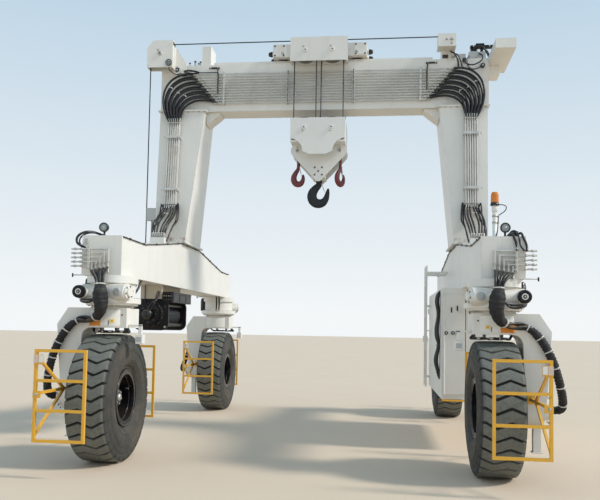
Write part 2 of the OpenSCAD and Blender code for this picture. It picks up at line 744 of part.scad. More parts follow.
pack_out = pack_in + pack_w;
pack_half = pack_len/2;
door_t = 25;
pin_r = 6;
knuckle_r = 13;
lug_h = 20;
// Doors' bottom and top over the pack's floor
door_low = pack_z + 70;
door_high = beam_z - 100;
service_w = 300;
side_door_w = 1240;
service_hinge = pack_in + 30;
side_hinge = pack_half - 40;

// A door's opening in the wall, as a box in the door's own axes: x along the wall, y out of it
module door_hole(w) { box([35, -pack_wall - 1, door_low + 40], [w - 35, 1, door_high - 40]); }
// The door: it lies on the wall, turns on a pin at its edge, and its axis stands at the origin
module door_leaf(w) {
    difference() {
        union() {
            box([0, -door_t, door_low], [w, 0, door_high]);
            rod_z(0, 0, door_low, door_high, knuckle_r, $fn = 32);
        }
        rod_z(0, 0, door_low - 1, door_high + 1, pin_r + seat, $fn = 32);
    }
    latch_z = (door_low + door_high)/2 + 460;
    for (x = [w - 90, w - 50]) box([x, -1, latch_z], [x + 16, 14, latch_z + 60]);
}
module hinge_pin() {
    rod_z(0, 0, door_low - lug_h - 2, door_high + lug_h + 2, pin_r, $fn = 32);
    for (z = [door_low - lug_h - 2, door_high + 2])
        box([-knuckle_r, -door_t - seat, z], [knuckle_r, knuckle_r, z + lug_h]);
}
// Each place stands on a hinge axis, clear of the wall by the door's thickness
module service_place() {
    translate([service_hinge, -pack_half - seat - door_t, 0]) mirror([0, 1, 0]) children();
}
module side_place() { translate([pack_out + seat + door_t, -side_hinge, 0]) mirror([1, -1, 0]) children(); }

module power_pack() {
    w = pack_wall;
    color(white) {
        difference() {
            box([pack_in, -pack_half, pack_z], [pack_out, pack_half, beam_z]);
            box([pack_in + w, -pack_half + w, pack_z + w], [pack_out - w, pack_half - w, beam_z - w]);
            service_place() translate([0, -door_t - seat, 0]) door_hole(service_w);
            both_ends() side_place() translate([0, -door_t - seat, 0]) door_hole(side_door_w);
            box([grille_x0, -pack_half - 1, grille_z0], [grille_x1, -pack_half + w + 1, grille_z1]);
        }
        service_place() hinge_pin();
        both_ends() side_place() hinge_pin();
        for (z = [grille_z0 + 20:42:grille_z1 - 10])
            translate([grille_x0 - 1, -pack_half + 3, z]) rotate([-25, 0, 0])
                cube([grille_x1 - grille_x0 + 2, 20, 6]);
    }
}
grille_x0 = pack_in + 400;
grille_x1 = pack_out - 100;
grille_z0 = 1780;
grille_z1 = 2140;
module door_service() { color(white) service_place() door_leaf(service_w); }
module door_front() { color(white) side_place() door_leaf(side_door_w); }
module door_rear() { color(white) mirror([0, 1, 0]) side_place() door_leaf(side_door_w); }

module engine() {
    floor_z = pack_z + pack_wall;
    front_y = -engine_len/2 - 50;
    back_y = front_y + engine_len;
    color(grey) box([pack_in + 170, front_y, floor_z], [pack_out - 150, back_y, floor_z + engine_h]);
}

// Trolley: plates ahead of and behind the crossbeam carry the sheaves, a carriage rolls on the rails

plate_t = 20;
outer_y = rope_y + 70;
inner_y = rope_y - 70;
sheave_pin_r = 35;
wheel_r = 75;
wheel_y = 150;
wheel_x = 620;
trolley_half = 790;
carriage_low = cross_top + rail_h + 18;
carriage_high = cross_top + 290;
trolley_wheel_z = cross_top + rail_h + seat + wheel_r;
block_pin_z = trolley_pin_z - fall;
pocket_half = 42;

module trolley_frame() {
    plate_low = cross_top - 60;
    plate_high = cross_top + 340;
    plate_half = 475;
    color(white) translate([trolley_x, 0, 0]) {
        difference() {
            box([-trolley_half, -inner_y, carriage_low], [trolley_half, inner_y, carriage_high]);
            for (x = [-wheel_x, wheel_x]) for (y = [-wheel_y, wheel_y])
                box([x - wheel_r - 10, y - pocket_half, carriage_low - 1],
                    [x + wheel_r + 10, y + pocket_half, carriage_high - 60]);
        }
        both_ends() {
            box([-plate_half, -outer_y - plate_t, plate_low], [plate_half, -outer_y, plate_high]);
            box([-plate_half, -inner_y, plate_low], [plate_half, -inner_y + plate_t, plate_high]);
            for (x = [-sheave_gap/2, sheave_gap/2]) {
                rod_y(x, -outer_y - plate_t - 14, -inner_y, trolley_pin_z, sheave_pin_r);
                rod_y(x, -outer_y, -rope_y - 31, trolley_pin_z, sheave_pin_r + 25);
            }
            for (x = [-plate_half, plate_half - 30])
                box([x, -outer_y - 1, plate_low], [x + 30, -inner_y + 1, plate_low + 90]);
        }
        for (s = [-1, 1]) both_ends()
            rod_x(s > 0 ? trolley_half : -trolley_half - 90, s > 0 ? trolley_half + 90 : -trolley_half,
                  -wheel_y, trolley_wheel_z + 50, 28);
    }
}

module trolley_wheels() {
    color(black) translate([trolley_x, 0, 0])
        for (x = [-wheel_x, wheel_x]) for (y = [-wheel_y, wheel_y]) {
            rod_y(x, y - 30, y + 30, trolley_wheel_z, wheel_r);
            rod_y(x, y - pocket_half + seat, y + pocket_half - seat, trolley_wheel_z, 24);
        }
}

module trolley_sheaves() {
    color(grey) translate([trolley_x, 0, 0])
        for (x = [-sheave_gap/2, sheave_gap/2]) for (y = [-rope_y, rope_y])
            sheave(x, y, trolley_pin_z, sheave_pin_r);
}

module hoist_falls() {
    reach = sheave_r + rope_d/2 + seat;
    color(black) translate([trolley_x, 0, 0])
        for (x = [-sheave_gap/2, sheave_gap/2]) for (s = [-1, 1]) for (y = [-rope_y, rope_y])
            rod_z(x + s*reach, y, block_pin_z, trolley_pin_z, rope_d/2, $fn = 16);
}

// Hook block

block_top = block_pin_z + 158;
deck_z = block_pin_z - 237;
shoulder = [357, block_pin_z - 329];
tip_r = 70;
tip_z = block_pin_z - 772;
v_out = 200;
v_t = 40;
shank_r = 44;
head_z = [tip_z - 5, tip_z + 145];
side_pin_r = 28;

module block_plate() {
    cut_past = 10;
    cut = [block_w/2 + cut_past, block_pin_z - 397];
    cut_r = 215;
    // The cut starts where its circle meets the plate's upright edge
    start = acos(-cut_past/cut_r);
    foot = 135;
    foot_z = block_pin_z - 447;
    polygon(concat(
        [[-block_w/2, block_top], [block_w/2, block_top]],
        arc(cut, cut_r, start, 180, 8),
        [[foot, foot_z], [-foot, foot_z]],
        arc([-cut[0], cut[1]], cut_r, 0, 180 - start, 8)));
}

// A plate with round shoulders that runs down to a round tip
module v_plate() {
    run = [0, tip_z] - shoulder;
    // Angle of the outward normal on the plate's straight right edge
    edge = atan2(run[1], run[0]) + 90 + asin((shoulder_r - tip_r)/norm(run));
    polygon(concat(
        arc(shoulder, shoulder_r, 90, edge, 14),
        arc([0, tip_z], tip_r, edge, -180 - edge, 10),
        arc([-shoulder[0], shoulder[1]], shoulder_r, 180 - edge, 90, 14)));
}

module block_frame() {
    half = block_w/2;
    color(white) translate([trolley_x, 0, 0]) difference() {
        union() {
            both_ends() {
                along_y(-outer_y - plate_t, -outer_y) block_plate();
                box([-half, -inner_y, deck_z], [half, -inner_y + plate_t, block_top]);
                along_y(-v_out, -v_out + v_t) v_plate();
                for (x = [-sheave_gap/2, sheave_gap/2]) {
                    rod_y(x, -outer_y - plate_t - 14, -inner_y, block_pin_z, sheave_pin_r);
                    rod_y(x, -outer_y, -rope_y - 31, block_pin_z, sheave_pin_r + 25);
                }
                for (x = [-shoulder[0], shoulder[0]]) rod_y(x, -v_out - 20, 0, shoulder[1], side_pin_r);
            }
            box([-half, -outer_y - 1, deck_z], [half, outer_y + 1, deck_z + 30]);
            for (x = [-half, half - plate_t])
                box([x, -outer_y - 1, deck_z + 20], [x + plate_t, outer_y + 1, block_top]);
            box([-110, -v_out, head_z[0]], [110, v_out, head_z[1]]);
        }
        rod_z(0, 0, head_z[0] - 1, head_z[1] + 1, shank_r + seat);
    }
}

module block_sheaves() {
    color(grey) translate([trolley_x, 0, 0])
        for (x = [-sheave_gap/2, sheave_gap/2]) for (y = [-rope_y, rope_y])
            sheave(x, y, block_pin_z, sheave_pin_r);
}

// Hooks: stations along the bent bar from its shank to its point, each [x, z, radius], with z from the
// V plates' tip for the main hook and from the shoulder pin for a side hook
main_stations = [[0, -10, 50], [0, -60, 50], [-8, -105, 52], [-52, -153, 62], [-98, -215, 76],
    [-118, -285, 82], [-100, -360, 82], [-48, -407, 80], [15, -416, 77], [72, -395, 68], [114, -345, 54],
    [136, -281, 43], [148, -220, 32], [156, -170, 18]];
side_stations = [[0, 0, 28], [0, -215, 28], [-10, -275, 32], [-46, -335, 40], [-74, -400, 48],
    [-73, -466, 52], [-40, -514, 53], [8, -528, 52], [52, -508, 46], [78, -460, 36], [84, -406, 27],
    [80, -366, 14]];

module hook_bar(stations, flat) {
    sweep([for (s = stations) [s[0], 0, s[1]]], [for (s = stations) s[2]], sides = 10, flat = flat);
}

module main_hook() {
    color(black) translate([trolley_x, 0, tip_z]) hook_bar(main_stations, 0.66);
    color(black) translate([trolley_x, 0, 0]) {
        rod_z(0, 0, head_z[0] - 30, head_z[1] + 20, shank_r);
        rod_z(0, 0, head_z[1] + seat, head_z[1] + 75, 80);
    }
}

module side_hook(side, twist) {
    eye_r = 62;
    color("#5d2a2c") translate([trolley_x + side*shoulder[0], 0, shoulder[1]]) difference() {
        union() {
            rotate([0, 0, twist]) hook_bar(side_stations, 0.7);
            rod_y(0, -30, 30, 0, eye_r);
        }
        rod_y(0, -80, 80, 0, side_pin_r + seat);
    }
}
module side_hook_left() { side_hook(-1, 0); }
module side_hook_right() { side_hook(1, 50); }

for (c = CORNERS) {
    at_corner(c) tyre();
    at_corner(c) rim();
    at_corner(c) arm();
    at_corner(c) guard();
    at_corner(c) arm_hose();
}
mirror([1, 0, 0]) side_beam();  // side_beam_left
side_beam();  // side_beam_right
mirror([1, 0, 0]) leg();  // leg_left
leg();  // leg_right
crossbeam();
slew_drives();
beam_pipes();
leg_pipes();
corner_hoses();
leg_hoses();
end_pipes();
end_hoses();
sheave_housing();
top_sheave();
hoist_rope();
rope_stops();
overhang_box();
junction_boxes();
work_lights();
beacon();
ladder();
winch_frame();
winch_drum();
power_pack();
engine();
door_service();
door_front();
door_rear();
trolley_frame();
trolley_wheels();
trolley_sheaves();
hoist_falls();
block_frame();
block_sheaves();
main_hook();
side_hook_left();
side_hook_right();
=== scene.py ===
"""Looks of the straddle carrier: materials, and the detail that is too fine for the solids.

Metres. +X is across the machine, +Y along its travel, +Z up. Left is -X and the front is -Y.
"""
import math
import random
import bpy
from mathutils import Matrix, Vector


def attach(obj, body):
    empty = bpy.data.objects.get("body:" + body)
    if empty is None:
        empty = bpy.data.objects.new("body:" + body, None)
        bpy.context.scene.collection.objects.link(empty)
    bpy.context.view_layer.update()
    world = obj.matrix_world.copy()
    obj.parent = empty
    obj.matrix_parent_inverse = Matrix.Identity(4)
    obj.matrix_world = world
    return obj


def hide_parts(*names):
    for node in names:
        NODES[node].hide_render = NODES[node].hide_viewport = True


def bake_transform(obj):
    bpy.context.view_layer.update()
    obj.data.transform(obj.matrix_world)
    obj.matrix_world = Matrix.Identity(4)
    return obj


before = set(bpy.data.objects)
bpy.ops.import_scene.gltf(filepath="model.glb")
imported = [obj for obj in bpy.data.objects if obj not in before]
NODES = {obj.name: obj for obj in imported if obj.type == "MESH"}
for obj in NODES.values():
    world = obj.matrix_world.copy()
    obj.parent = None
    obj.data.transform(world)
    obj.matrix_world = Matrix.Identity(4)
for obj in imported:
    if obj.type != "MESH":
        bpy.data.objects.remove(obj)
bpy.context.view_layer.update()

# Main sizes, as in the solids
TRACK_HALF = 2.41
BASE_HALF = 3.0
AXLE_Z = 0.81
CORNERS = {"fl": (-1, -1), "fr": (1, -1), "rl": (-1, 1), "rr": (1, 1)}
SIDES = (-1, 1)
PORTAL_Z = 5.4
CROSS_TOP = 6.212
BEAM_IN, BEAM_OUT = 2.22, 2.74
BEAM_MID = (BEAM_IN + BEAM_OUT)/2
BEAM_TOP = 2.87
HUMP_TOP = 3.1
TROLLEY_X = -0.02
TROLLEY_SHEAVE_Z, BLOCK_SHEAVE_Z = 6.335, 5.037
SHEAVE_FACE = 0.464
# From the trolley's middle to its sheaves and to the side hooks' pins
SHEAVES_X = (-0.225, 0.225)
HOOK_X, HOOK_Z = 0.357, 4.708
WINCH_X, WINCH_Z = -2.47, 1.905

OUT, IN = Vector((1, 0, 0)), Vector((-1, 0, 0))
BACK, FRONT = Vector((0, 1, 0)), Vector((0, -1, 0))
UP, DOWN = Vector((0, 0, 1)), Vector((0, 0, -1))


# Node graphs

class Graph:
    """A material's node tree, with short calls for the nodes that repeat."""

    def __init__(self, name):
        self.material = bpy.data.materials.new(name)
        self.material.use_nodes = True
        self.tree = self.material.node_tree
        self.shader = self.tree.nodes["Principled BSDF"]
        self.coords = self.tree.nodes.new("ShaderNodeTexCoord")
        self.place = self.coords.outputs["Object"]

    def put(self, socket, value):
        if isinstance(value, bpy.types.NodeSocket):
            self.tree.links.new(value, socket)
        elif value is not None:
            socket.default_value = value

    def math(self, operation, a, b=None):
        node = self.tree.nodes.new("ShaderNodeMath")
        node.operation = operation
        self.put(node.inputs[0], a)
        self.put(node.inputs[1], b)
        return node.outputs[0]

    def times(self, a, b):
        return self.math("MULTIPLY", a, b)

    def vector(self, operation, a, b):
        node = self.tree.nodes.new("ShaderNodeVectorMath")
        node.operation = operation
        self.put(node.inputs[0], a)
        self.put(node.inputs[1], b)
        return node.outputs["Value" if operation in ("DOT_PRODUCT", "LENGTH") else "Vector"]

    def split(self, vector):
        node = self.tree.nodes.new("ShaderNodeSeparateXYZ")
        self.put(node.inputs[0], vector)
        return node.outputs

    def noise(self, scale, detail, roughness=0.55, stretch=(1, 1, 1)):
        where = self.place
        if stretch != (1, 1, 1):
            where = self.vector("MULTIPLY", where, stretch)
        node = self.tree.nodes.new("ShaderNodeTexNoise")
        self.put(node.inputs["Vector"], where)
        node.inputs["Scale"].default_value = scale
        node.inputs["Detail"].default_value = detail
        node.inputs["Roughness"].default_value = roughness
        return node.outputs["Fac"]

    def cells(self, scale):
        node = self.tree.nodes.new("ShaderNodeTexVoronoi")
        self.put(node.inputs["Vector"], self.place)
        node.inputs["Scale"].default_value = scale
        return node.outputs["Distance"]

    def step(self, value, low, high, out_low=0.0, out_high=1.0):
        node = self.tree.nodes.new("ShaderNodeMapRange")
        node.interpolation_type = "SMOOTHSTEP"
        for socket, entry in zip(node.inputs, (value, low, high, out_low, out_high)):
            self.put(socket, entry)
        return node.outputs[0]

    def mix(self, share, a, b):
        node = self.tree.nodes.new("ShaderNodeMix")
        node.data_type = "RGBA"
        self.put(node.inputs[0], share)
        for socket, value in ((node.inputs[6], a), (node.inputs[7], b)):
            self.put(socket, (*value, 1) if isinstance(value, tuple) else value)
        return node.outputs[2]

    def bump(self, height, strength, distance, normal=None):
        node = self.tree.nodes.new("ShaderNodeBump")
        node.inputs["Strength"].default_value = strength
        node.inputs["Distance"].default_value = distance
        self.put(node.inputs["Height"], height)
        self.put(node.inputs["Normal"], normal)
        return node.outputs[0]

    def rounded(self, radius):
        node = self.tree.nodes.new("ShaderNodeBevel")
        node.samples = 4
        node.inputs["Radius"].default_value = radius
        return node.outputs[0]

    def edges(self, radius):
        """1 close to an edge, 0 away from it."""
        face = self.tree.nodes.new("ShaderNodeNewGeometry").outputs["Normal"]
        along = self.vector("DOT_PRODUCT", self.rounded(radius), face)
        return self.step(along, 0.995, 0.8)

    def finish(self, color, rough, normal=None, **constants):
        self.put(self.shader.inputs["Base Color"], (*color, 1) if isinstance(color, tuple) else color)
        self.put(self.shader.inputs["Roughness"], rough)
        self.put(self.shader.inputs["Normal"], normal)
        for name, value in constants.items():
            self.shader.inputs[name.replace("_", " ")].default_value = value
        return self.material


# Sand colour: of the dust, and of the painted bounce light on the undersides in paint()
SAND = (0.56, 0.46, 0.33)
RUST = (0.2, 0.075, 0.028)


def paint(name, color, rough=0.42, dust=0.5, rust=0.25, streak=0.3, rust_at=None, above=None, shine=0.5):
    """Sprayed paint on steel: faint ripple, sand dust where it settles, painted bounce light and shade on the
    undersides, streaks that run down, rust at edges.

    rust_at is a box of low and high in x, y and z, without signs, where rust bleeds out of the joints.
    above is (z, x, color): another color from that height up, on the side of smaller x.
    """
    g = Graph(name)
    broad = g.noise(0.9, 3)
    fine = g.noise(14, 6, 0.7)
    runs = g.noise(5.0, 5, 0.6, stretch=(1.6, 1.6, 0.1))
    facing = g.split(g.coords.outputs["Normal"])[2]
    edge = g.edges(0.018)
    shade = g.mix(g.step(broad, 0.35, 0.7), color, tuple(0.93*c for c in color))
    grime = tuple(0.52*c + 0.1 for c in color)
    shade = g.mix(g.times(g.step(runs, 0.52, 0.8), streak), shade, grime)
    upward = g.times(g.step(facing, 0.25, 0.9), g.step(fine, 0.25, 0.75, 0.45, 1.0))
    # Painted bounce light and shade: faces that look down are tinted towards sand, standing in for warm light off the
    # sand floor; the dust amount scales this too
    painted_bounce_light = g.step(facing, -0.3, -0.9, 0.0, 0.55)
    shade = g.mix(g.times(g.math("MAXIMUM", upward, painted_bounce_light), dust), shade, SAND)
    film = g.step(g.noise(2.3, 5, 0.65), 0.45, 0.85, 0.0, 0.28*dust)
    shade = g.mix(film, shade, SAND)
    chips = g.times(g.step(edge, 0.25, 0.9), g.step(g.noise(23, 5, 0.75), 0.54, 0.62))
    spots = g.step(g.noise(7.5, 8, 0.75), 0.7, 0.76)
    worn = g.times(g.math("MAXIMUM", chips, spots), rust)
    if rust_at:
        (x0, x1), (y0, y1), (z0, z1) = rust_at
        at = g.split(g.place)
        inside = None
        for value, low, high in ((at[0], x0, x1), (at[1], y0, y1), (at[2], z0, z1)):
            half, mid = (high - low)/2, (high + low)/2
            away = g.math("ABSOLUTE", g.math("SUBTRACT", g.math("ABSOLUTE", value), mid))
            near = g.step(away, half + 0.03, half - 0.03)
            inside = near if inside is None else g.times(inside, near)
        bleed = g.times(inside, g.step(g.noise(9, 6, 0.7, stretch=(1, 1, 0.4)), 0.46, 0.66, 0, 0.8))
        worn = g.math("MAXIMUM", worn, bleed)
    shade = g.mix(worn, shade, RUST)
    if above:
        height, side, other = above
        at = g.split(g.place)
        share = g.times(g.step(at[2], height, height + 0.002), g.step(at[0], side + 0.002, side))
        shade = g.mix(share, shade, other)
    roughness = g.step(g.math("ADD", fine, g.times(worn, 0.8)), 0.2, 1.2, rough, rough + 0.32)
    ripple = g.math("ADD", g.times(g.noise(60, 3), 0.3), g.noise(3.0, 2))
    normal = g.bump(ripple, 0.12, 0.004, g.rounded(0.004))
    return g.finish(shade, roughness, normal, Coat_Weight=0.24*shine, Coat_Roughness=0.3, Specular_IOR_Level=shine)


def metal(name, color, rough, metallic, grime, grain=90):
    """Bare or plated metal with a faint grain and dark grime in patches."""
    g = Graph(name)
    patch = g.step(g.noise(6, 6, 0.7), 0.45, 0.75, 0, grime)
    shade = g.mix(patch, color, tuple(0.35*c + 0.03 for c in color))
    roughness = g.step(g.noise(grain, 4), 0.3, 0.7, rough, rough + 0.22)
    normal = g.bump(g.noise(grain*2, 3), 0.08, 0.001, g.rounded(0.002))
    return g.finish(shade, roughness, normal, Metallic=metallic)


def rubber(name, color, dust, rough, weave=0.0):
    """Black rubber with settled dust, and a woven cover where weave is above 0."""
    g = Graph(name)
    facing = g.split(g.coords.outputs["Normal"])[2]
    upward = g.step(facing, -0.1, 0.9, 0.15, 1.0)
    film = g.times(g.times(g.step(g.noise(9, 6, 0.7), 0.35, 0.8), upward), dust)
    shade = g.mix(film, color, tuple(0.6*s for s in SAND))
    height = g.noise(70, 4)
    if weave:
        height = g.math("ADD", height, g.times(g.cells(240), weave))
    normal = g.bump(height, 0.35, 0.002)
    return g.finish(shade, g.step(g.noise(20, 3), 0.3, 0.7, rough, rough + 0.15), normal)


def rope_material(name):
    """Steel wire rope: dark grease between bright strands, twisted along the rope."""
    g = Graph(name)
    lay = g.tree.nodes.new("ShaderNodeTexWave")
    lay.wave_type = "BANDS"
    lay.bands_direction = "DIAGONAL"
    g.put(lay.inputs["Vector"], g.place)
    lay.inputs["Scale"].default_value = 32
    lay.inputs["Distortion"].default_value = 1.5
    strands = lay.outputs["Fac"]
    shade = g.mix(strands, (0.012, 0.013, 0.016), (0.1, 0.105, 0.115))
    return g.finish(shade, 0.45, g.bump(strands, 0.6, 0.003), Metallic=0.6)


def tyre_material(name):
    """Tyre rubber: grey dust on the lugs' tops, dark grooves, brown dust on the sidewall."""
    g = Graph(name)
    _, y, z = g.split(g.place)
    along = g.math("SUBTRACT", g.math("ABSOLUTE", y), BASE_HALF)
    up = g.math("SUBTRACT", z, AXLE_Z)
    radius = g.math("SQRT", g.math("ADD", g.times(along, along), g.times(up, up)))
    tread = g.step(radius, 0.782, 0.801)
    wall = g.step(radius, 0.74, 0.66)
    cloud = g.noise(3.2, 6, 0.65)
    black = (0.022, 0.023, 0.023)
    shade = g.mix(g.step(cloud, 0.3, 0.75, 0.35, 0.95), black, (0.052, 0.054, 0.049))
    lug = g.mix(cloud, (0.115, 0.122, 0.108), (0.19, 0.196, 0.17))
    shade = g.mix(g.times(tread, g.step(g.noise(26, 6, 0.7), 0.25, 0.6, 0.55, 1.0)), shade, lug)
    brown = g.mix(g.noise(4.5, 5), (0.052, 0.045, 0.037), (0.115, 0.094, 0.07))
    shade = g.mix(g.times(wall, g.step(g.noise(2.6, 6, 0.7), 0.35, 0.72)), shade, brown)
    scuff = g.step(g.noise(11, 8, 0.75), 0.6, 0.72, 0, 0.5)
    shade = g.mix(scuff, shade, (0.16, 0.15, 0.125))
    rough = g.step(g.noise(30, 4), 0.3, 0.7, 0.62, 0.86)
    normal = g.bump(g.math("ADD", g.noise(120, 5, 0.7), g.noise(24, 4)), 0.35, 0.0025)
    return g.finish(shade, rough, normal)


def lens(name, color, transmission, rough=0.12):
    g = Graph(name)
    ribs = g.tree.nodes.new("ShaderNodeTexWave")
    g.put(ribs.inputs["Vector"], g.place)
    ribs.inputs["Scale"].default_value = 60
    cloud = g.mix(g.noise(20, 4), color, tuple(0.75*c for c in color))
    return g.finish(cloud, rough, g.bump(ribs.outputs["Fac"], 0.3, 0.002), Transmission_Weight=transmission)


WHITE = paint("white_paint", (0.8, 0.79, 0.745))
WHITE_RUSTY = paint("white_paint_rusty", (0.8, 0.79, 0.745), rust=0.5, streak=0.45,
                    rust_at=((2.17, 2.74), (0.4, 0.6), (3.08, 3.2)))
WHITE_BLOCK = paint("white_block", (0.8, 0.8, 0.77), rust=0.12, streak=0.2, dust=0.25)
YELLOW = paint("yellow_paint", (0.82, 0.43, 0.035), rough=0.38, dust=0.15, rust=0.45, streak=0.15)
BLACK = paint("black_paint", (0.012, 0.012, 0.014), rough=0.22, dust=0.16, rust=0.1, streak=0.05)
BLACK_WINCH = paint("black_winch", (0.008, 0.008, 0.01), rough=0.3, dust=0.05, rust=0.05, streak=0.03,
                    above=(2.147, -2.295, (0.62, 0.56, 0.46)), shine=0.25)
BLACK_SOFT = paint("black_soft", (0.008, 0.008, 0.01), rough=0.32, dust=0.05, rust=0.05, streak=0.03, shine=0.25)
BLACK_RIM = paint("black_rim", (0.007, 0.007, 0.009), rough=0.14, dust=0.05, rust=0.08, streak=0.02)
BLACK_MATT = paint("black_matt", (0.018, 0.018, 0.022), rough=0.5, dust=0.12, rust=0.1, streak=0.05)
RED = paint("red_paint", (0.165, 0.028, 0.032), rough=0.4, dust=0.06, rust=0.5, streak=0.3)
GREY = paint("grey_paint", (0.44, 0.46, 0.46), dust=0.3, rust=0.15)
ORANGE = paint("orange_paint", (0.78, 0.27, 0.02), rough=0.45, dust=0.2, rust=0.1)
PALE_YELLOW = paint("plate_yellow", (0.78, 0.66, 0.22), dust=0.1, rust=0.05)
FORGED = metal("forged_black", (0.022, 0.025, 0.03), 0.42, metallic=0.35, grime=0.3, grain=40)
PIPE = metal("pipe_steel", (0.62, 0.61, 0.575), 0.36, metallic=0.45, grime=0.45)
ZINC = metal("zinc", (0.55, 0.54, 0.5), 0.38, metallic=0.75, grime=0.5)
CAST = metal("cast_sheave", (0.2, 0.19, 0.18), 0.5, metallic=0.5, grime=0.6)
HOSE = rubber("hose", (0.01, 0.01, 0.012), dust=0.16, rough=0.3)
HOSE_DUSTY = rubber("hose_dusty", (0.03, 0.026, 0.02), dust=0.75, rough=0.5)
SHEATH = rubber("hose_sheath", (0.014, 0.014, 0.017), dust=0.3, weave=0.9, rough=0.7)
TYRE = tyre_material("tyre")
ROPE = rope_material("wire_rope")
TIE = rubber("white_tie", (0.62, 0.61, 0.58), dust=0.2, rough=0.4)
AMBER = lens("amber_lens", (0.95, 0.3, 0.02), transmission=0.25)
GLASS = lens("lamp_glass", (0.55, 0.6, 0.62), transmission=0.35)
REFLECTOR = lens("reflector", (0.8, 0.62, 0.52), transmission=0.0, rough=0.3)
DARK = paint("dark_inside", (0.02, 0.02, 0.022), rough=0.8, dust=0.1, rust=0.0, streak=0.0)

NODE_MATERIALS = {
    WHITE: ["slew_drives", "sheave_housing", "rope_stops", "overhang_box", "ladder", "power_pack",
            "door_service", "door_front", "door_rear", "trolley_frame", "crossbeam"]
           + [f"arm_{c}" for c in CORNERS],
    WHITE_RUSTY: ["side_beam_left", "side_beam_right", "leg_left", "leg_right"],
    WHITE_BLOCK: ["block_frame"],
    YELLOW: [f"guard_{c}" for c in CORNERS],
    BLACK_WINCH: ["winch_frame"],
    BLACK_RIM: [f"rim_{c}" for c in CORNERS],
    BLACK_MATT: ["trolley_wheels"],
    RED: ["side_hook_left", "side_hook_right"],
    FORGED: ["main_hook"],
    PIPE: ["beam_pipes", "leg_pipes", "end_pipes"],
    CAST: ["top_sheave", "trolley_sheaves", "block_sheaves"],
    ROPE: ["hoist_rope", "hoist_falls", "winch_drum"],
    TYRE: [f"tyre_{c}" for c in CORNERS],
    HOSE: ["corner_hoses", "leg_hoses"],
    SHEATH: ["end_hoses"] + [f"arm_hose_{c}" for c in CORNERS],
    GREY: ["junction_boxes", "work_lights", "engine"],
    AMBER: ["beacon"],
}


def dress_nodes():
    for material, names in NODE_MATERIALS.items():
        for name in names:
            mesh = NODES[name].data
            mesh.materials.clear()
            mesh.materials.append(material)


# Meshes

SQUARE = ((0, 0), (1, 0), (1, 1), (0, 1))


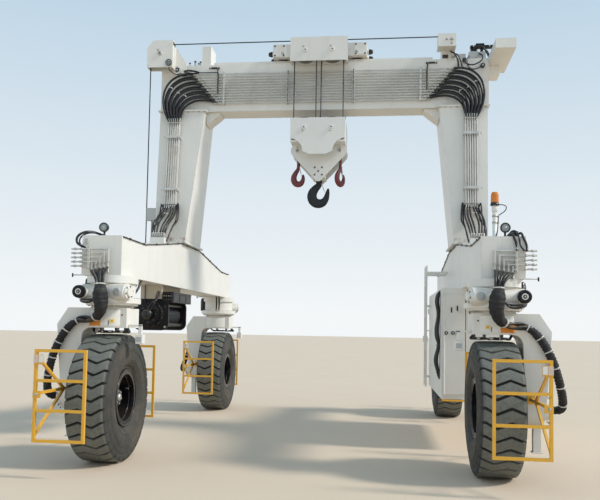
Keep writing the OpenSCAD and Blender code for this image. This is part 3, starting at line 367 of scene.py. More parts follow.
class Shape:
    """Gathers faces of many small forms, each with its material, into one mesh."""

    def __init__(self):
        self.points = []
        self.faces = []
        self.slots = []
        self.smooth = []
        self.materials = []

    def add(self, points, faces, material, smooth=False, turn=None):
        first = len(self.points)
        self.points += [turn @ Vector(p) if turn else Vector(p) for p in points]
        if material not in self.materials:
            self.materials.append(material)
        slot = self.materials.index(material)
        for face in faces:
            self.faces.append([first + i for i in face])
            self.slots.append(slot)
            self.smooth.append(smooth)

    def box(self, low, high, material, chamfer=0.003, turn=None):
        """A box with small chamfers, so its edges catch the light."""
        low, high = Vector(low), Vector(high)
        chamfer = min(chamfer, 0.3*min(high - low))
        points, index = [], {}
        for corner in range(8):
            signs = [1 if corner >> axis & 1 else -1 for axis in range(3)]
            outer = [high[a] if signs[a] > 0 else low[a] for a in range(3)]
            for axis in range(3):
                point = [outer[a] - (0 if a == axis else signs[a]*chamfer) for a in range(3)]
                index[corner, axis] = len(points)
                points.append(point)
        faces = []
        for axis in range(3):
            u, v = (axis + 1) % 3, (axis + 2) % 3
            for side in (0, 1):
                face = [index[(side << axis) | (a << u) | (b << v), axis] for a, b in SQUARE]
                faces.append(face if side else face[::-1])
            for a, b in SQUARE:
                near = (a << u) | (b << v)
                far = near | (1 << axis)
                face = [index[near, u], index[near, v], index[far, v], index[far, u]]
                faces.append(face if (a + b) % 2 == 0 else face[::-1])
        for corner in range(8):
            face = [index[corner, axis] for axis in range(3)]
            faces.append(face if bin(corner).count("1") % 2 else face[::-1])
        self.add(points, faces, material, turn=turn)

    def boxes(self, material, *boxes):
        """Boxes of one material, each as its low and high corner in six numbers."""
        for box in boxes:
            self.box(box[:3], box[3:], material)

    def lathe(self, profile, at, axis, material, sides=24, smooth=True):
        """Turns a profile of (distance along the axis, radius) about the axis."""
        turn = aim(at, axis)
        points = [(r*math.cos(math.tau*k/sides), r*math.sin(math.tau*k/sides), h)
                  for h, r in profile for k in range(sides)]
        self.add(points, quads(len(profile), sides), material, smooth, turn)
        for i, order in ((0, -1), (len(profile) - 1, 1)):
            if profile[i][1] > 1e-5:
                self.add(points[i*sides:(i + 1)*sides], [list(range(sides))[::order]], material, False, turn)

    def rod(self, a, b, radius, material, sides=20, chamfer=0.003):
        run = Vector(b) - Vector(a)
        c = min(chamfer, 0.3*run.length, 0.3*radius)
        profile = [(0, radius - c), (c, radius), (run.length - c, radius), (run.length, radius - c)]
        self.lathe(profile, a, run, material, sides)

    def stub(self, at, axis, length, radius, material, sides=20, chamfer=0.003):
        self.rod(at, Vector(at) + length*Vector(axis), radius, material, sides, chamfer)

    def nut(self, at, axis, radius, material):
        """A hexagon nut or bolt head on its washer, with the end of its stud."""
        for sides, profile in ((12, ((0, 1.35), (0.2, 1.3))), (6, ((0.2, 1), (0.88, 1), (1, 0.85))),
                               (8, ((1, 0.5), (1.2, 0.45)))):
            self.lathe([(h*radius, r*radius) for h, r in profile], at, axis, material, sides, smooth=sides != 6)

    def nuts(self, axis, radius, material, *places):
        for at in places:
            self.nut(at, axis, radius, material)

    def nut_ring(self, centre, axis, distance, count, radius, material, phase=0.0):
        side = axis.orthogonal().normalized()
        self.nuts(axis, radius, material, *ring(centre, distance*side, distance*axis.cross(side), count, phase))

    def tube(self, path, radius, material, sides, closed=False, flat=1.0, lay=None, wrap=None, side=None):
        """A tube along a path. radius is one number, or one for each point.

        lay is (strands, length of one turn, depth) and twists strands round the tube. wrap is (pitch, depth)
        and winds one ridge round it. flat squeezes it across side.
        """
        path = [Vector(p) for p in path]
        count = len(path)
        radii = radius if isinstance(radius, (list, tuple)) else [radius]*count
        heading = [(path[(i + 1) % count if closed else min(i + 1, count - 1)]
                    - path[i - 1 if closed or i else 0]).normalized() for i in range(count)]
        side = Vector(side) if side else heading[0].orthogonal().normalized()
        points = []
        run = 0.0
        for i in range(count):
            side = (side - heading[i]*side.dot(heading[i])).normalized()
            other = heading[i].cross(side)
            run += (path[i] - path[i - 1]).length if i else 0.0
            for k in range(sides):
                angle = math.tau*k/sides
                r = radii[i]
                if lay:
                    r *= 1 + lay[2]*math.cos(lay[0]*angle)
                    angle += math.tau*run/lay[1]
                if wrap:
                    r *= 1 + wrap[1]*math.cos(angle - math.tau*run/wrap[0])
                points.append(path[i] + r*(side*math.cos(angle) + other*flat*math.sin(angle)))
        self.add(points, quads(count, sides, closed), material, smooth=True)
        if not closed:
            self.add(points[:sides], [list(range(sides))[::-1]], material)
            self.add(points[-sides:], [list(range(sides))], material)

    def loop(self, path, radius, material, sides=8):
        self.tube(path, radius, material, sides, closed=True)

    def hose(self, path, radius, sides=10, steps=6):
        self.tube(smooth_path(path, steps), radius, HOSE, sides)

    def crimp(self, at, towards, hose, material):
        """The end of a hydraulic hose: a nut at the pipe, a neck and a ribbed ferrule on the hose."""
        at = Vector(at)
        axis = (Vector(towards) - at).normalized()
        n = 1.45*hose
        self.lathe([(-0.3*hose, 0.9*n), (-0.1*hose, n), (1.1*hose, n), (1.3*hose, 0.9*n)], at, axis,
                   material, 6, smooth=False)
        f = 1.24*hose
        ferrule = [(1.3*hose, 0.8*hose), (1.8*hose, 0.8*hose), (1.85*hose, f)]
        for k in range(1, 4):
            h = (1.9 + 0.75*k)*hose
            ferrule += [(h, f), (h + 0.1*hose, 0.93*f), (h + 0.25*hose, 0.93*f), (h + 0.35*hose, f)]
        self.lathe(ferrule + [(5.3*hose, f), (5.5*hose, 1.02*hose)], at, axis, material, 12)

    def band(self, at, axis, radius, width, material, tail=False):
        """A flat tie round a hose, with the head of its buckle, and its cut end where tail is true."""
        at, axis = Vector(at), Vector(axis).normalized()
        half, thick = width/2, 0.004
        self.lathe([(-half, radius), (-half, radius + thick), (half, radius + thick), (half, radius)],
                   at, axis, material, 18)
        side = axis.cross(Vector((0.3, -1, 0.2))).cross(axis).normalized()
        head = at + side*(radius + thick)
        self.box((-0.008, -0.008, -half - 0.003), (0.008, 0.008, half + 0.003), material, 0.002, aim(head, axis))
        if tail:
            self.tube([head, head + side*0.022 + axis*0.01, head + side*0.04 + axis*0.035], 0.0028, material, 6)

    def patch(self, radius, start, end, low, high, thick, material, steps=8):
        """A thin plate bent round the z axis, from one angle to another in degrees (0 is +x, -90 is -y)."""
        points = []
        for k in range(steps + 1):
            angle = math.radians(start + (end - start)*k/steps)
            for r, z in ((radius, low), (radius + thick, low), (radius + thick, high), (radius, high)):
                points.append((r*math.cos(angle), r*math.sin(angle), z))
        ends = [[0, 1, 2, 3], [4*steps + 3, 4*steps + 2, 4*steps + 1, 4*steps]]
        self.add(points, ends + [face[::-1] for face in quads(steps + 1, 4)], material)

    def pin_end(self, at, axis, radius, material, keeper):
        """The end of a pin: its washer, the dark grease hole in its middle and the bolt that keeps it."""
        self.lathe([(0, radius), (0.005, 0.97*radius), (0.007, 0.9*radius)], at, axis, material)
        self.lathe([(0.007, 0.34*radius), (0.009, 0.3*radius)], at, axis, DARK, 12)
        self.nut(Vector(at) + Vector(keeper).normalized()*1.75*radius, axis, 0.32*radius, ZINC)

    def object(self, name, body, place=None, replaces=()):
        """Makes the mesh, mirrored where place says so, and fixes it to its body."""
        points = [place @ p for p in self.points] if place else self.points
        flip = place is not None and place.determinant() < 0
        faces = [face[::-1] for face in self.faces] if flip else self.faces
        mesh = bpy.data.meshes.new(name)
        mesh.from_pydata(points, [], faces)
        for material in self.materials:
            mesh.materials.append(material)
        mesh.polygons.foreach_set("material_index", self.slots)
        mesh.polygons.foreach_set("use_smooth", self.smooth)
        mesh.update()
        piece = bpy.data.objects.new(name, mesh)
        bpy.context.scene.collection.objects.link(piece)
        if body:
            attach(piece, body)
        for node in replaces:
            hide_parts(node)
        return piece


def quads(count, width, closed=False):
    """Faces between rings of width points each. closed joins the last ring to the first."""
    faces = []
    for i in range(count if closed else count - 1):
        j = (i + 1) % count
        for k in range(width):
            n = (k + 1) % width
            faces.append([i*width + k, i*width + n, j*width + n, j*width + k])
    return faces


def corner_place(sx, sy):
    """From a corner's own axes (+x outboard, -y towards its end) to the machine's."""
    return Matrix.Translation((sx*TRACK_HALF, sy*BASE_HALF, 0)) @ Matrix.Diagonal((sx, -sy, 1, 1))


def side_place(sx):
    return Matrix.Diagonal((sx, 1, 1, 1))


def side_name(sx):
    return "left" if sx < 0 else "right"


def aim(at, axis):
    """Axes at a point, with z along the axis."""
    return Matrix.Translation(at) @ Vector(axis).to_track_quat("Z", "Y").to_matrix().to_4x4()


def ring(centre, u, v, count, phase=0.0):
    """Points round a circle, from its two radii u and v."""
    angles = [math.tau*(k + phase)/count for k in range(count)]
    return [Vector(centre) + math.cos(a)*u + math.sin(a)*v for a in angles]


def grid(low, high, count):
    return [low + (high - low)*k/(count - 1) for k in range(count)]


def bezier(a, b, c, d, count):
    a, b, c, d = (Vector(p) for p in (a, b, c, d))
    return [a*(1 - t)**3 + b*3*t*(1 - t)**2 + c*3*t*t*(1 - t) + d*t**3
            for t in (i/count for i in range(count + 1))]


def even(points, spacing):
    """The path again, with points at an even spacing."""
    points = [Vector(p) for p in points]
    marks = [0.0]
    for a, b in zip(points, points[1:]):
        marks.append(marks[-1] + (b - a).length)
    count = max(2, round(marks[-1]/spacing))
    path, at = [], 0
    for i in range(count + 1):
        s = marks[-1]*i/count
        while at < len(points) - 2 and marks[at + 1] < s:
            at += 1
        t = (s - marks[at])/max(1e-9, marks[at + 1] - marks[at])
        path.append(points[at].lerp(points[at + 1], min(1.0, t)))
    return path


def along(values, share):
    """A list of values read at a share from 0 to 1, with straight lines between."""
    at = share*(len(values) - 1)
    i = min(int(at), len(values) - 2)
    return values[i] + (values[i + 1] - values[i])*(at - i)


def smooth_path(points, steps):
    """A Catmull-Rom curve through the points."""
    p = [Vector(q) for q in points]
    p = [2*p[0] - p[1]] + p + [2*p[-1] - p[-2]]
    path = []
    for i in range(1, len(p) - 2):
        for k in range(steps):
            t = k/steps
            path.append(0.5*(2*p[i] + (p[i + 1] - p[i - 1])*t
                             + (2*p[i - 1] - 5*p[i] + 4*p[i + 1] - p[i + 2])*t*t
                             + (3*p[i] - p[i - 1] - 3*p[i + 1] + p[i + 2])*t**3))
    return path + [p[-2]]


# Tyres and rims

LUGS = 32
GROOVE = 0.0175
GROOVE_DEPTH = 0.04
TREAD_HALF = 0.208
# The zigzag of a groove: place across the tread from -1 to 1, shift along it in metres
ZIGZAG = [(-1.0, -0.036), (-0.42, 0.032), (0.35, -0.036), (1.0, 0.018)]


def zigzag(s):
    for (s0, z0), (s1, z1) in zip(ZIGZAG, ZIGZAG[1:]):
        if s <= s1:
            return z0 + (z1 - z0)*max(0.0, (s - s0)/(s1 - s0))
    return ZIGZAG[-1][1]


def tyre_section():
    """Points round the tyre: (place along the axle, radius, depth of the grooves there)."""
    bead = [(0.1997, 0.3182, 0), (0.1997, 0.366, 0), (0.209, 0.378, 0), (0.207, 0.392, 0), (0.217, 0.404, 0)]
    belly = []
    for i in range(15):
        a = math.radians(-56 + 110*i/14)
        belly.append((0.27 - 0.085*(1 - math.cos(a))**1.25, 0.572 + 0.18*math.sin(a), 0))
    ribbed = []
    for x, r, _ in belly:
        ribbed.append((x, r, 0))
        if 0.585 < r < 0.625 or 0.44 < r < 0.465:
            ribbed += [(x + 0.004, r + 0.004, 0), (x + 0.004, r + 0.012, 0), (x, r + 0.016, 0)]
    side = bead + ribbed + [(0.249, 0.728, 0.004), (0.249, 0.752, 0.018), (0.243, 0.775, 0.03)]
    edge = [(0.229, 0.795, GROOVE_DEPTH), (0.215, 0.8035, GROOVE_DEPTH)]
    steps = 22
    crown = [(TREAD_HALF*(1 - 2*i/steps), 0.81 - 0.005*abs(1 - 2*i/steps)**3, GROOVE_DEPTH)
             for i in range(steps + 1)]
    half = side + edge
    return half + crown + [(-x, r, d) for x, r, d in reversed(half)]


def tyre(corner, sx, sy):
    section = tyre_section()
    pitch = math.tau/LUGS
    wide, narrow = (GROOVE + 0.001)/AXLE_Z, (GROOVE - 0.005)/AXLE_Z
    stations = [(-wide, 0), (-narrow, 1), (narrow, 1), (wide, 0)]
    gap = pitch - 2*wide
    stations += [(wide + gap*k/4, 0) for k in range(1, 4)]
    first = -(GROOVE + ZIGZAG[1][1])/AXLE_Z
    points = []
    for lug in range(LUGS):
        for angle, cut in stations:
            for x, r, depth in section:
                turn = first + lug*pitch + angle + zigzag(max(-1.0, min(1.0, x/TREAD_HALF)))/AXLE_Z
                radius = r - depth*cut
                points.append((x, radius*math.sin(turn), AXLE_Z - radius*math.cos(turn)))
    shape = Shape()
    shape.add(points, quads(LUGS*len(stations), len(section), closed=True), TYRE, smooth=True)
    piece = shape.object(f"tyre_tread_{corner}", f"wheel_{corner}", corner_place(sx, sy), [f"tyre_{corner}"])
    piece.data.set_sharp_from_angle(angle=math.radians(32))


def rim_details(corner, sx, sy):
    """Nuts on the disc and hub, the lock ring and the valve, seen in the deep inboard dish."""
    shape = Shape()
    z = AXLE_Z
    shape.nut_ring((0.0595, 0, z), IN, 0.235, 20, 0.017, ZINC)
    shape.nut_ring((-0.06, 0, z), IN, 0.138, 12, 0.012, BLACK)
    shape.nut_ring((-0.125, 0, z), IN, 0.082, 6, 0.01, ZINC)
    shape.nut_ring((0.09, 0, z), OUT, 0.235, 20, 0.015, ZINC)
    shape.lathe([(0, 0.05), (0.02, 0.048), (0.03, 0.02)], (-0.124, 0, z), IN, ZINC)
    for x, r, thick in ((-0.222, 0.352, 0.008), (0.222, 0.352, 0.008), (-0.15, 0.2985, 0.007)):
        shape.loop(ring((x, 0, z), r*BACK, r*UP, 64), thick, BLACK)
    shape.rod((-0.1, 0.27, z + 0.1), (-0.16, 0.25, z + 0.09), 0.007, ZINC, 8)
    shape.object(f"rim_fittings_{corner}", f"wheel_{corner}", corner_place(sx, sy))


# Hoses and ropes

PIPE_Y = -0.247
HOSE_R = 0.015
ARCH_R = 0.0175
# How far a hose runs straight from its fitting
STRAIGHT = 0.025
LEG_LEAN = math.atan2(0.19, 2.25)
LEG_RUN = Vector((0, -math.sin(LEG_LEAN), -math.cos(LEG_LEAN)))
LEG_TOP, LEG_LOW = 5.15, 3.76
BULKHEAD = (-1.0, 3.13)


def pipe_end(i):
    return 2.16 - 0.039*i


def pipe_z(i):
    return 6.037 - 0.046*i


def leg_pipe(k, layer, z):
    face = -0.31 - (5.375 - z)*math.tan(LEG_LEAN)
    return Vector((2.45 + 0.036*(2.5 - k), face - (0.04, 0.084)[layer]/math.cos(LEG_LEAN), z))


def corner_hoses(sx):
    """Twelve hoses that arch from the crossbeam's pipes over to the leg's pipes, with their fittings."""
    shape = Shape()

    def between(a, b, i):
        return a + (b - a)*i/11

    for i in range(12):
        layer = 1 - i % 2
        start = Vector((pipe_end(i), PIPE_Y, pipe_z(i)))
        stop = leg_pipe(i//2, layer, LEG_TOP)
        a, d = start + STRAIGHT*OUT, stop - STRAIGHT*LEG_RUN
        b = a + Vector((between(0.43, 0.33, i), -0.03 - 0.08*layer, between(0.025, 0.12, i)))
        c = d + Vector((between(0.258, 0.022, i), -0.008, between(0.43, 0.34, i)))
        shape.tube([start] + bezier(a, b, c, d, 26) + [stop], ARCH_R, HOSE, 12)
        shape.crimp(start, a, HOSE_R, ZINC)
        shape.crimp(stop, d, HOSE_R, ZINC)
        if i in (2, 5, 8):
            at, after = bezier(a, b, c, d, 50)[23:25]
            shape.band(at, after - at, ARCH_R, 0.012, TIE, tail=True)
    shape.object(f"corner_hoses_{side_name(sx)}", "frame", side_place(sx), ["corner_hoses"])


def leg_hoses(sx):
    """Hoses from the leg's pipes down to the block on the side beam, and the few that loop up beside them."""
    shape = Shape()
    for k in range(6):
        start = leg_pipe(k, 1, LEG_LOW)
        stop = Vector((BEAM_MID + 0.036*(2.5 - k), BULKHEAD[0], BULKHEAD[1]))
        a, d = start + STRAIGHT*LEG_RUN, stop + STRAIGHT*UP
        part = Vector((0.026*(2.5 - k)/2.5 + (0.028 if k < 3 else -0.028), -0.012*(k % 2), 0))
        path = bezier(a, start + LEG_RUN*0.25 + part, stop + Vector((0, 0.04, 0.33)) + 1.2*part, d, 20)
        shape.tube([start] + path + [stop], HOSE_R, HOSE, 10)
        shape.crimp(start, a, HOSE_R, ZINC)
        shape.crimp(stop, d, HOSE_R, ZINC)
    for k, out, tall in ((0, 0.062, 0.15), (5, -0.07, 0.18), (5, -0.045, 0.1), (1, 0.055, 0.1)):
        start = leg_pipe(k, 0, LEG_LOW)
        side = math.copysign(1, out)
        path = [start, start + LEG_RUN*0.03, start + Vector((0.2*out, -0.03, -0.09)),
                start + Vector((0.75*out, -0.055, -0.055 + 0.3*tall)), start + Vector((out, -0.075, -0.14)),
                start + Vector((1.15*out, -0.16, -0.3)), Vector((BEAM_MID + 0.155*side, -0.78, 3.32)),
                Vector((BEAM_MID + 0.125*side, -0.955, 3.085))]
        shape.hose(path, 0.012, 8, 5)
        shape.crimp(path[0], path[1], 0.012, ZINC)
    shape.band(leg_pipe(2, 1, LEG_LOW) + Vector((0.018, -0.03, -0.2)), (0, -0.3, -1), 0.075, 0.016, TIE)
    shape.object(f"leg_hoses_{side_name(sx)}", "frame", side_place(sx), ["leg_hoses"])


SHEATH_TOP = Vector((-0.018, -0.462, 2.235))
SHEATH_ROUTE = [(-0.018, -0.462, 2.237, 0.06), (-0.02, -0.466, 2.2, 0.07), (-0.03, -0.478, 2.16, 0.084),
                (-0.038, -0.488, 2.112, 0.092), (-0.041, -0.484, 2.06, 0.091), (-0.042, -0.48, 2.01, 0.086),
                (-0.041, -0.476, 1.965, 0.08), (-0.024, -0.448, 1.912, 0.072), (0.012, -0.408, 1.864, 0.062),
                (0.07, -0.363, 1.83, 0.052)]
STRAND_ROUTE = [(0.05, -0.374, 1.838), (0.105, -0.347, 1.817), (0.165, -0.322, 1.806), (0.23, -0.303, 1.804),
                (0.3, -0.292, 1.799), (0.335, -0.291, 1.784)]
WRAP_ROUTE = [(0.315, -0.291, 1.794), (0.4, -0.29, 1.745), (0.49, -0.288, 1.65), (0.565, -0.284, 1.53),
              (0.635, -0.276, 1.38), (0.69, -0.25, 1.22), (0.735, -0.21, 1.07), (0.768, -0.15, 0.94),
              (0.78, -0.085, 0.86), (0.765, -0.03, 0.82), (0.735, 0, 0.81), (0.662, 0, 0.81)]


def end_pipe(i):
    """Place of an end pipe's elbow, and where its hose starts."""
    z = 2.69 - 0.054*i
    return Vector((-0.036 + 0.053*i, -0.275, z)), Vector((-0.036 + 0.053*i, -0.275, z - 0.22 + 0.045*i))


def arm_hoses(corner, sx, sy):
    """Five hoses into a sleeve beside the wheel arm, bare for a stretch, then wrapped to the motor; the piece is fixed
    to no body.
    """
    shape = Shape()
    for i in range(5):
        start = end_pipe(i)[1]
        stop = SHEATH_TOP + Vector(((i - 2)*0.02, (i % 2)*0.032 - 0.016, -0.02))
        drop = start.z - stop.z
        a, d = start - Vector((0, 0, 0.01)), stop + Vector((0, 0, 0.01))
        path = bezier(a, start - Vector((0, 0.09, drop*0.15)), stop + Vector((0, 0, drop*0.6)), d, 16)
        shape.tube([start] + path + [stop], HOSE_R, HOSE, 10)
        shape.crimp(start, a, HOSE_R, ZINC)
    route = smooth_path([p[:3] for p in SHEATH_ROUTE], 6)
    radii = [along([p[3] for p in SHEATH_ROUTE], i/(len(route) - 1)) for i in range(len(route))]
    rng = random.Random(corner)
    folds = [1 + 0.035*math.sin(0.9*i + rng.uniform(-0.8, 0.8)) for i in range(len(route))]
    shape.tube(route, [r*f for r, f in zip(radii, folds)], SHEATH, 20, lay=(5, 1.7, 0.05))
    for at, width in ((0, 0.016), (len(route) - 2, 0.022)):
        shape.band(route[at], route[at + 1] - route[at], radii[at] + 0.001, width, TIE)
    strands = smooth_path(STRAND_ROUTE, 6)
    for n, material in enumerate((HOSE, HOSE_DUSTY, HOSE, HOSE_DUSTY)):
        path = []
        for i, p in enumerate(strands):
            run = i/(len(strands) - 1)
            angle = math.tau*(n/4 + 0.3*run)
            heading = (strands[min(i + 1, len(strands) - 1)] - strands[max(i - 1, 0)]).normalized()
            u = heading.cross(UP).normalized()
            v = u.cross(heading)
            away = 0.019 + 0.016*math.sin(math.pi*run)
            path.append(p + away*(u*math.cos(angle) + v*math.sin(angle)))
        shape.tube(path, 0.0165, material, 10)
    wrap = even(smooth_path(WRAP_ROUTE, 5), 0.0065)
    count = len(wrap)
    width = [0.036 + 0.013*min(1.0, i/26)*(1 - 0.25*max(0, (i - count + 40)/40)) for i in range(count)]
    shape.tube(wrap, width, SHEATH, 16, wrap=(0.04, 0.07))
    for share, tail in ((0.02, True), (0.16, False), (0.3, True), (0.46, False), (0.64, True), (0.82, False)):
        i = round(share*(count - 2))
        shape.band(wrap[i], wrap[i + 1] - wrap[i], width[i]*1.05, 0.014, TIE, tail=tail)
    shape.lathe([(0, 0.046), (0.012, 0.046), (0.014, 0.032), (0.05, 0.032)], (0.66, 0, AXLE_Z), OUT, ZINC)
    place = corner_place(sx, sy)
    piece = shape.object(f"arm_hoses_{corner}", None, place, ["end_hoses", f"arm_hose_{corner}"])
    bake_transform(piece)


ROPE_R = 0.009
ROPE_Y = -0.36
ROPE_TOP = 6.524
ROPE_LAY = (6, 0.115, 0.1)
# From a sheave's axis to the rope's middle
ROPE_BEND = 0.1843


def hoist_rope():
    """The rope from its anchor over the trolley, round the top sheave and down to the winch."""
    pin_x, pin_z, reach = -2.72, 6.3397, 0.1848
    over = [(pin_x + reach*math.cos(math.radians(a)), ROPE_Y, pin_z + reach*math.sin(math.radians(a)))
            for a in range(90, 181, 6)]
    path = [(1.92, ROPE_Y, ROPE_TOP)] + over + [(pin_x - ROPE_BEND, ROPE_Y, 2.45), (-2.6643, ROPE_Y, WINCH_Z)]
    shape = Shape()
    shape.tube(even(path, 0.014), ROPE_R, ROPE, 12, lay=ROPE_LAY)
    shape.object("rope_lead", "frame", replaces=["hoist_rope"])


def falls():
    """Eight rope falls between the trolley's sheaves and the hook block's."""
    shape = Shape()
    top, low = TROLLEY_SHEAVE_Z, BLOCK_SHEAVE_Z
    for x in SHEAVES_X:
        for s in SIDES:
            for y in (ROPE_Y, -ROPE_Y):
                at = TROLLEY_X + x + s*ROPE_BEND
                shape.tube(even([(at, y, top), (at, y, low)], 0.0145), ROPE_R, ROPE, 12, lay=ROPE_LAY)
    piece = shape.object("rope_falls", None, replaces=["hoist_falls"])
    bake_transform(piece)


def drum():
    """The rope's turns on the winch drum."""
    shape = Shape()
    length, turns = 0.9394, 50
    step = length/turns
    profile = [(0, 0.176)]
    for k in range(turns):
        profile += [((k + share)*step, r) for share, r in ((0.25, 0.1835), (0.5, 0.185), (0.75, 0.1835), (1, 0.176))]
    shape.lathe(profile, (WINCH_X, -1.2497, WINCH_Z), BACK, ROPE, 36)
    shape.object("rope_turns", "frame", replaces=["winch_drum"])


# Fittings: each function gathers the small parts of one place into one piece

def end_fittings(corner, sx, sy):
    """Bolts of the end pipes' clamp, pipe unions, cables over the beam's end, and the slew drive's small parts."""
    shape = Shape()
    for i in range(6):
        shape.nut((0.215, -0.297, 2.717 - 0.054*i), FRONT, 0.01, ZINC)
    for i in range(5):
        top, low = end_pipe(i)
        shape.lathe([(0, 0.016), (0.004, 0.02), (0.026, 0.02), (0.03, 0.016)], low + 0.075*UP, DOWN, ZINC, 6,
                    smooth=False)
        for x in (0.3, 0.385):
            shape.stub((x + 0.01*(i % 2), -0.275, top.z), OUT, 0.03, 0.0175, ZINC, 6)
    if sx < 0:
        cable = [(0.125, 0.012, 2.89), (0.17, -0.02, 2.905), (0.25, -0.08, 2.93), (0.314, -0.15, 2.925),
                 (0.375, -0.2, 2.89), (0.405, -0.23, 2.835), (0.39, -0.245, 2.77), (0.312, -0.262, 2.719)]
        shape.hose(cable, 0.016)
        shape.hose([(x - 0.03, y + 0.02, z - 0.012) for x, y, z in cable], 0.01, 8)
        shape.box((0.246, -0.262, 2.765), (0.286, -0.232, 2.825), GREY)
    else:
        for x0, x1, x2, r in ((0.169, 0.218, 0.215, 0.015), (0.274, 0.333, 0.33, 0.015), (0.225, 0.262, 0.3, 0.01)):
            shape.hose([(x0 - 0.03, 0.35, 2.885), (x0 - 0.01, 0.12, 2.89), (x0, -0.06, 2.915),
                        (x0 + 0.01, -0.19, 2.912), (x0 + 0.025, -0.256, 2.85), (x1, -0.266, 2.76),
                        (x2, -0.303, 2.69)], r)
        shape.band((0.222, -0.06, 2.915), BACK, 0.05, 0.016, DARK)
    shape.stub((0.3, -0.1, 2.372), OUT, 0.21, 0.007, ZINC, 8)
    shape.stub((0.505, -0.1, 2.345), UP, 0.05, 0.01, DARK, 8)

    worm, lean = Vector((0, -0.235, 2.145)), math.radians(15)
    run = Vector((math.cos(lean), math.sin(lean), 0))
    out = Vector((run.y, -run.x, 0))
    for s in SIDES:
        shape.nut_ring(worm + s*0.355*run, s*run, 0.073, 6, 0.009, CAST, 0.5)
    cap = worm - 0.25*run + 0.1*out
    shape.lathe([(0, 0.052), (0.016, 0.052), (0.02, 0.046), (0.022, 0.04)], cap, out, GREY)
    shape.nut_ring(cap + 0.018*out, out, 0.038, 4, 0.006, ZINC)
    shape.nuts(UP, 0.011, ZINC, *ring((0, 0, 2.075), 0.326*OUT, 0.326*BACK, 30))

    motor = Vector((0.29, -0.345, 2.145))
    shape.lathe([(0, 0.06), (0.002, 0.08), (0.052, 0.08), (0.06, 0.072), (0.06, 0.05), (0.0575, 0.046)],
                motor, FRONT, BLACK_SOFT, 32)
    shape.lathe([(0.0575, 0.038), (0.064, 0.036), (0.064, 0.026), (0.058, 0.024)], motor, FRONT, WHITE_BLOCK)
    shape.lathe([(0.0575, 0.023), (0.066, 0.02)], motor, FRONT, DARK, 20)
    shape.nut(motor + 0.066*FRONT, FRONT, 0.009, ZINC)
    shape.nut_ring(motor + 0.06*FRONT, FRONT, 0.062, 4, 0.007, BLACK)

    tank = Vector((0.322, 0.03, 2.07))
    shape.stub(tank, UP, 0.23, 0.062, BLACK, 24, 0.006)
    shape.lathe([(0, 0.062), (0.025, 0.056), (0.042, 0.04), (0.048, 0.015)], tank + 0.23*UP, UP, BLACK)
    for k in range(7):
        shape.lathe([(0, 0.062), (0.002, 0.068), (0.008, 0.068), (0.01, 0.062)], tank + (0.04 + 0.026*k)*UP, UP, BLACK)
    for n, depth in enumerate((0.075, 0.045)):
        shape.hose([(0.322 - 0.02*n, -0.02, 2.16), (0.35, -0.11, 2.12), (0.33, -0.23, 2.085 - depth/2),
                    (0.23, -0.365, 2.09 - depth), (0.13 - 0.02*n, -0.395, 2.095 - depth), (0.06, -0.4, 2.075)],
                   0.013)
    for n, x in enumerate((-0.15, -0.095)):
        fall = [(x, 0.64, 2.366), (x, 0.625, 2.33), (x + 0.01, 0.56, 2.24), (x + 0.03, 0.47, 2.16 - 0.02*n),
                (x + 0.05, 0.39, 2.12), (x + 0.07, 0.345, 2.085)]
        shape.hose(fall, 0.016)
        shape.crimp(fall[-1], fall[-2], 0.016, ZINC)
        shape.box((x - 0.024, 0.61, 2.348), (x + 0.024, 0.665, 2.362), ZINC)
    shape.object(f"end_fittings_{corner}", "frame", corner_place(sx, sy))


def arm_fittings(corner, sx, sy):
    """Marker panel, blank plate, bolts and the small hydraulic parts under the wheel arm."""
    shape = Shape()
    skin = 0.301
    shape.patch(skin, -84, -46, 1.722, 1.812, 0.004, ORANGE)
    shape.patch(skin, -118, -106, 1.762, 1.812, 0.003, PALE_YELLOW)
    shape.patch(skin + 0.0035, -114.5, -109.5, 1.777, 1.797, 0.001, ORANGE, 2)
    shape.patch(skin, -104.5, -103, 1.735, 1.79, 0.002, DARK, 2)
    shape.stub((-0.219, -0.223, 1.863), FRONT, 0.006, 0.011, DARK, 12)
    shape.nuts(DOWN, 0.01, ZINC, *ring((0, 0, 1.985), 0.292*OUT, 0.292*BACK, 24, 0.5))
    rng = random.Random("soffit " + corner)
    for n, y in enumerate((-0.15, -0.192)):
        path = [(x, y + rng.uniform(-0.006, 0.006), 1.652 + rng.uniform(-0.01, 0.008)) for x in grid(-0.3, 0.15, 9)]
        shape.hose([(-0.245, y + 0.05, 1.712)] + path + [(0.2, y + 0.06, 1.712)], 0.012, 8, 5)
        for x in (-0.23 + 0.02*n, -0.06, 0.02 + 0.03*n, 0.115):
            shape.stub((x - 0.02, y, 1.652), OUT, 0.04, 0.019, ZINC if n else BLACK, 6)
    shape.boxes(BLACK, *((x - 0.014, -0.215, 1.636, x + 0.014, -0.125, 1.706) for x in (-0.26, -0.14, 0.06)))
    shape.box((-0.485, -0.2, 1.5), (-0.39, -0.09, 1.62), WHITE, 0.006)
    shape.boxes(WHITE, (-0.46, -0.165, 1.62, -0.415, -0.125, 1.74), (-0.46, -0.165, 1.722, -0.27, -0.125, 1.745))
    shape.box((-0.47, -0.203, 1.53), (-0.405, -0.199, 1.59), GREY, 0.001)
    shape.nut_ring((0.66, 0, AXLE_Z), OUT, 0.095, 8, 0.012, ZINC)
    shape.nut_ring((0.63, 0, AXLE_Z), OUT, 0.152, 12, 0.012, ZINC)
    shape.object(f"arm_fittings_{corner}", f"steer_{corner}", corner_place(sx, sy))


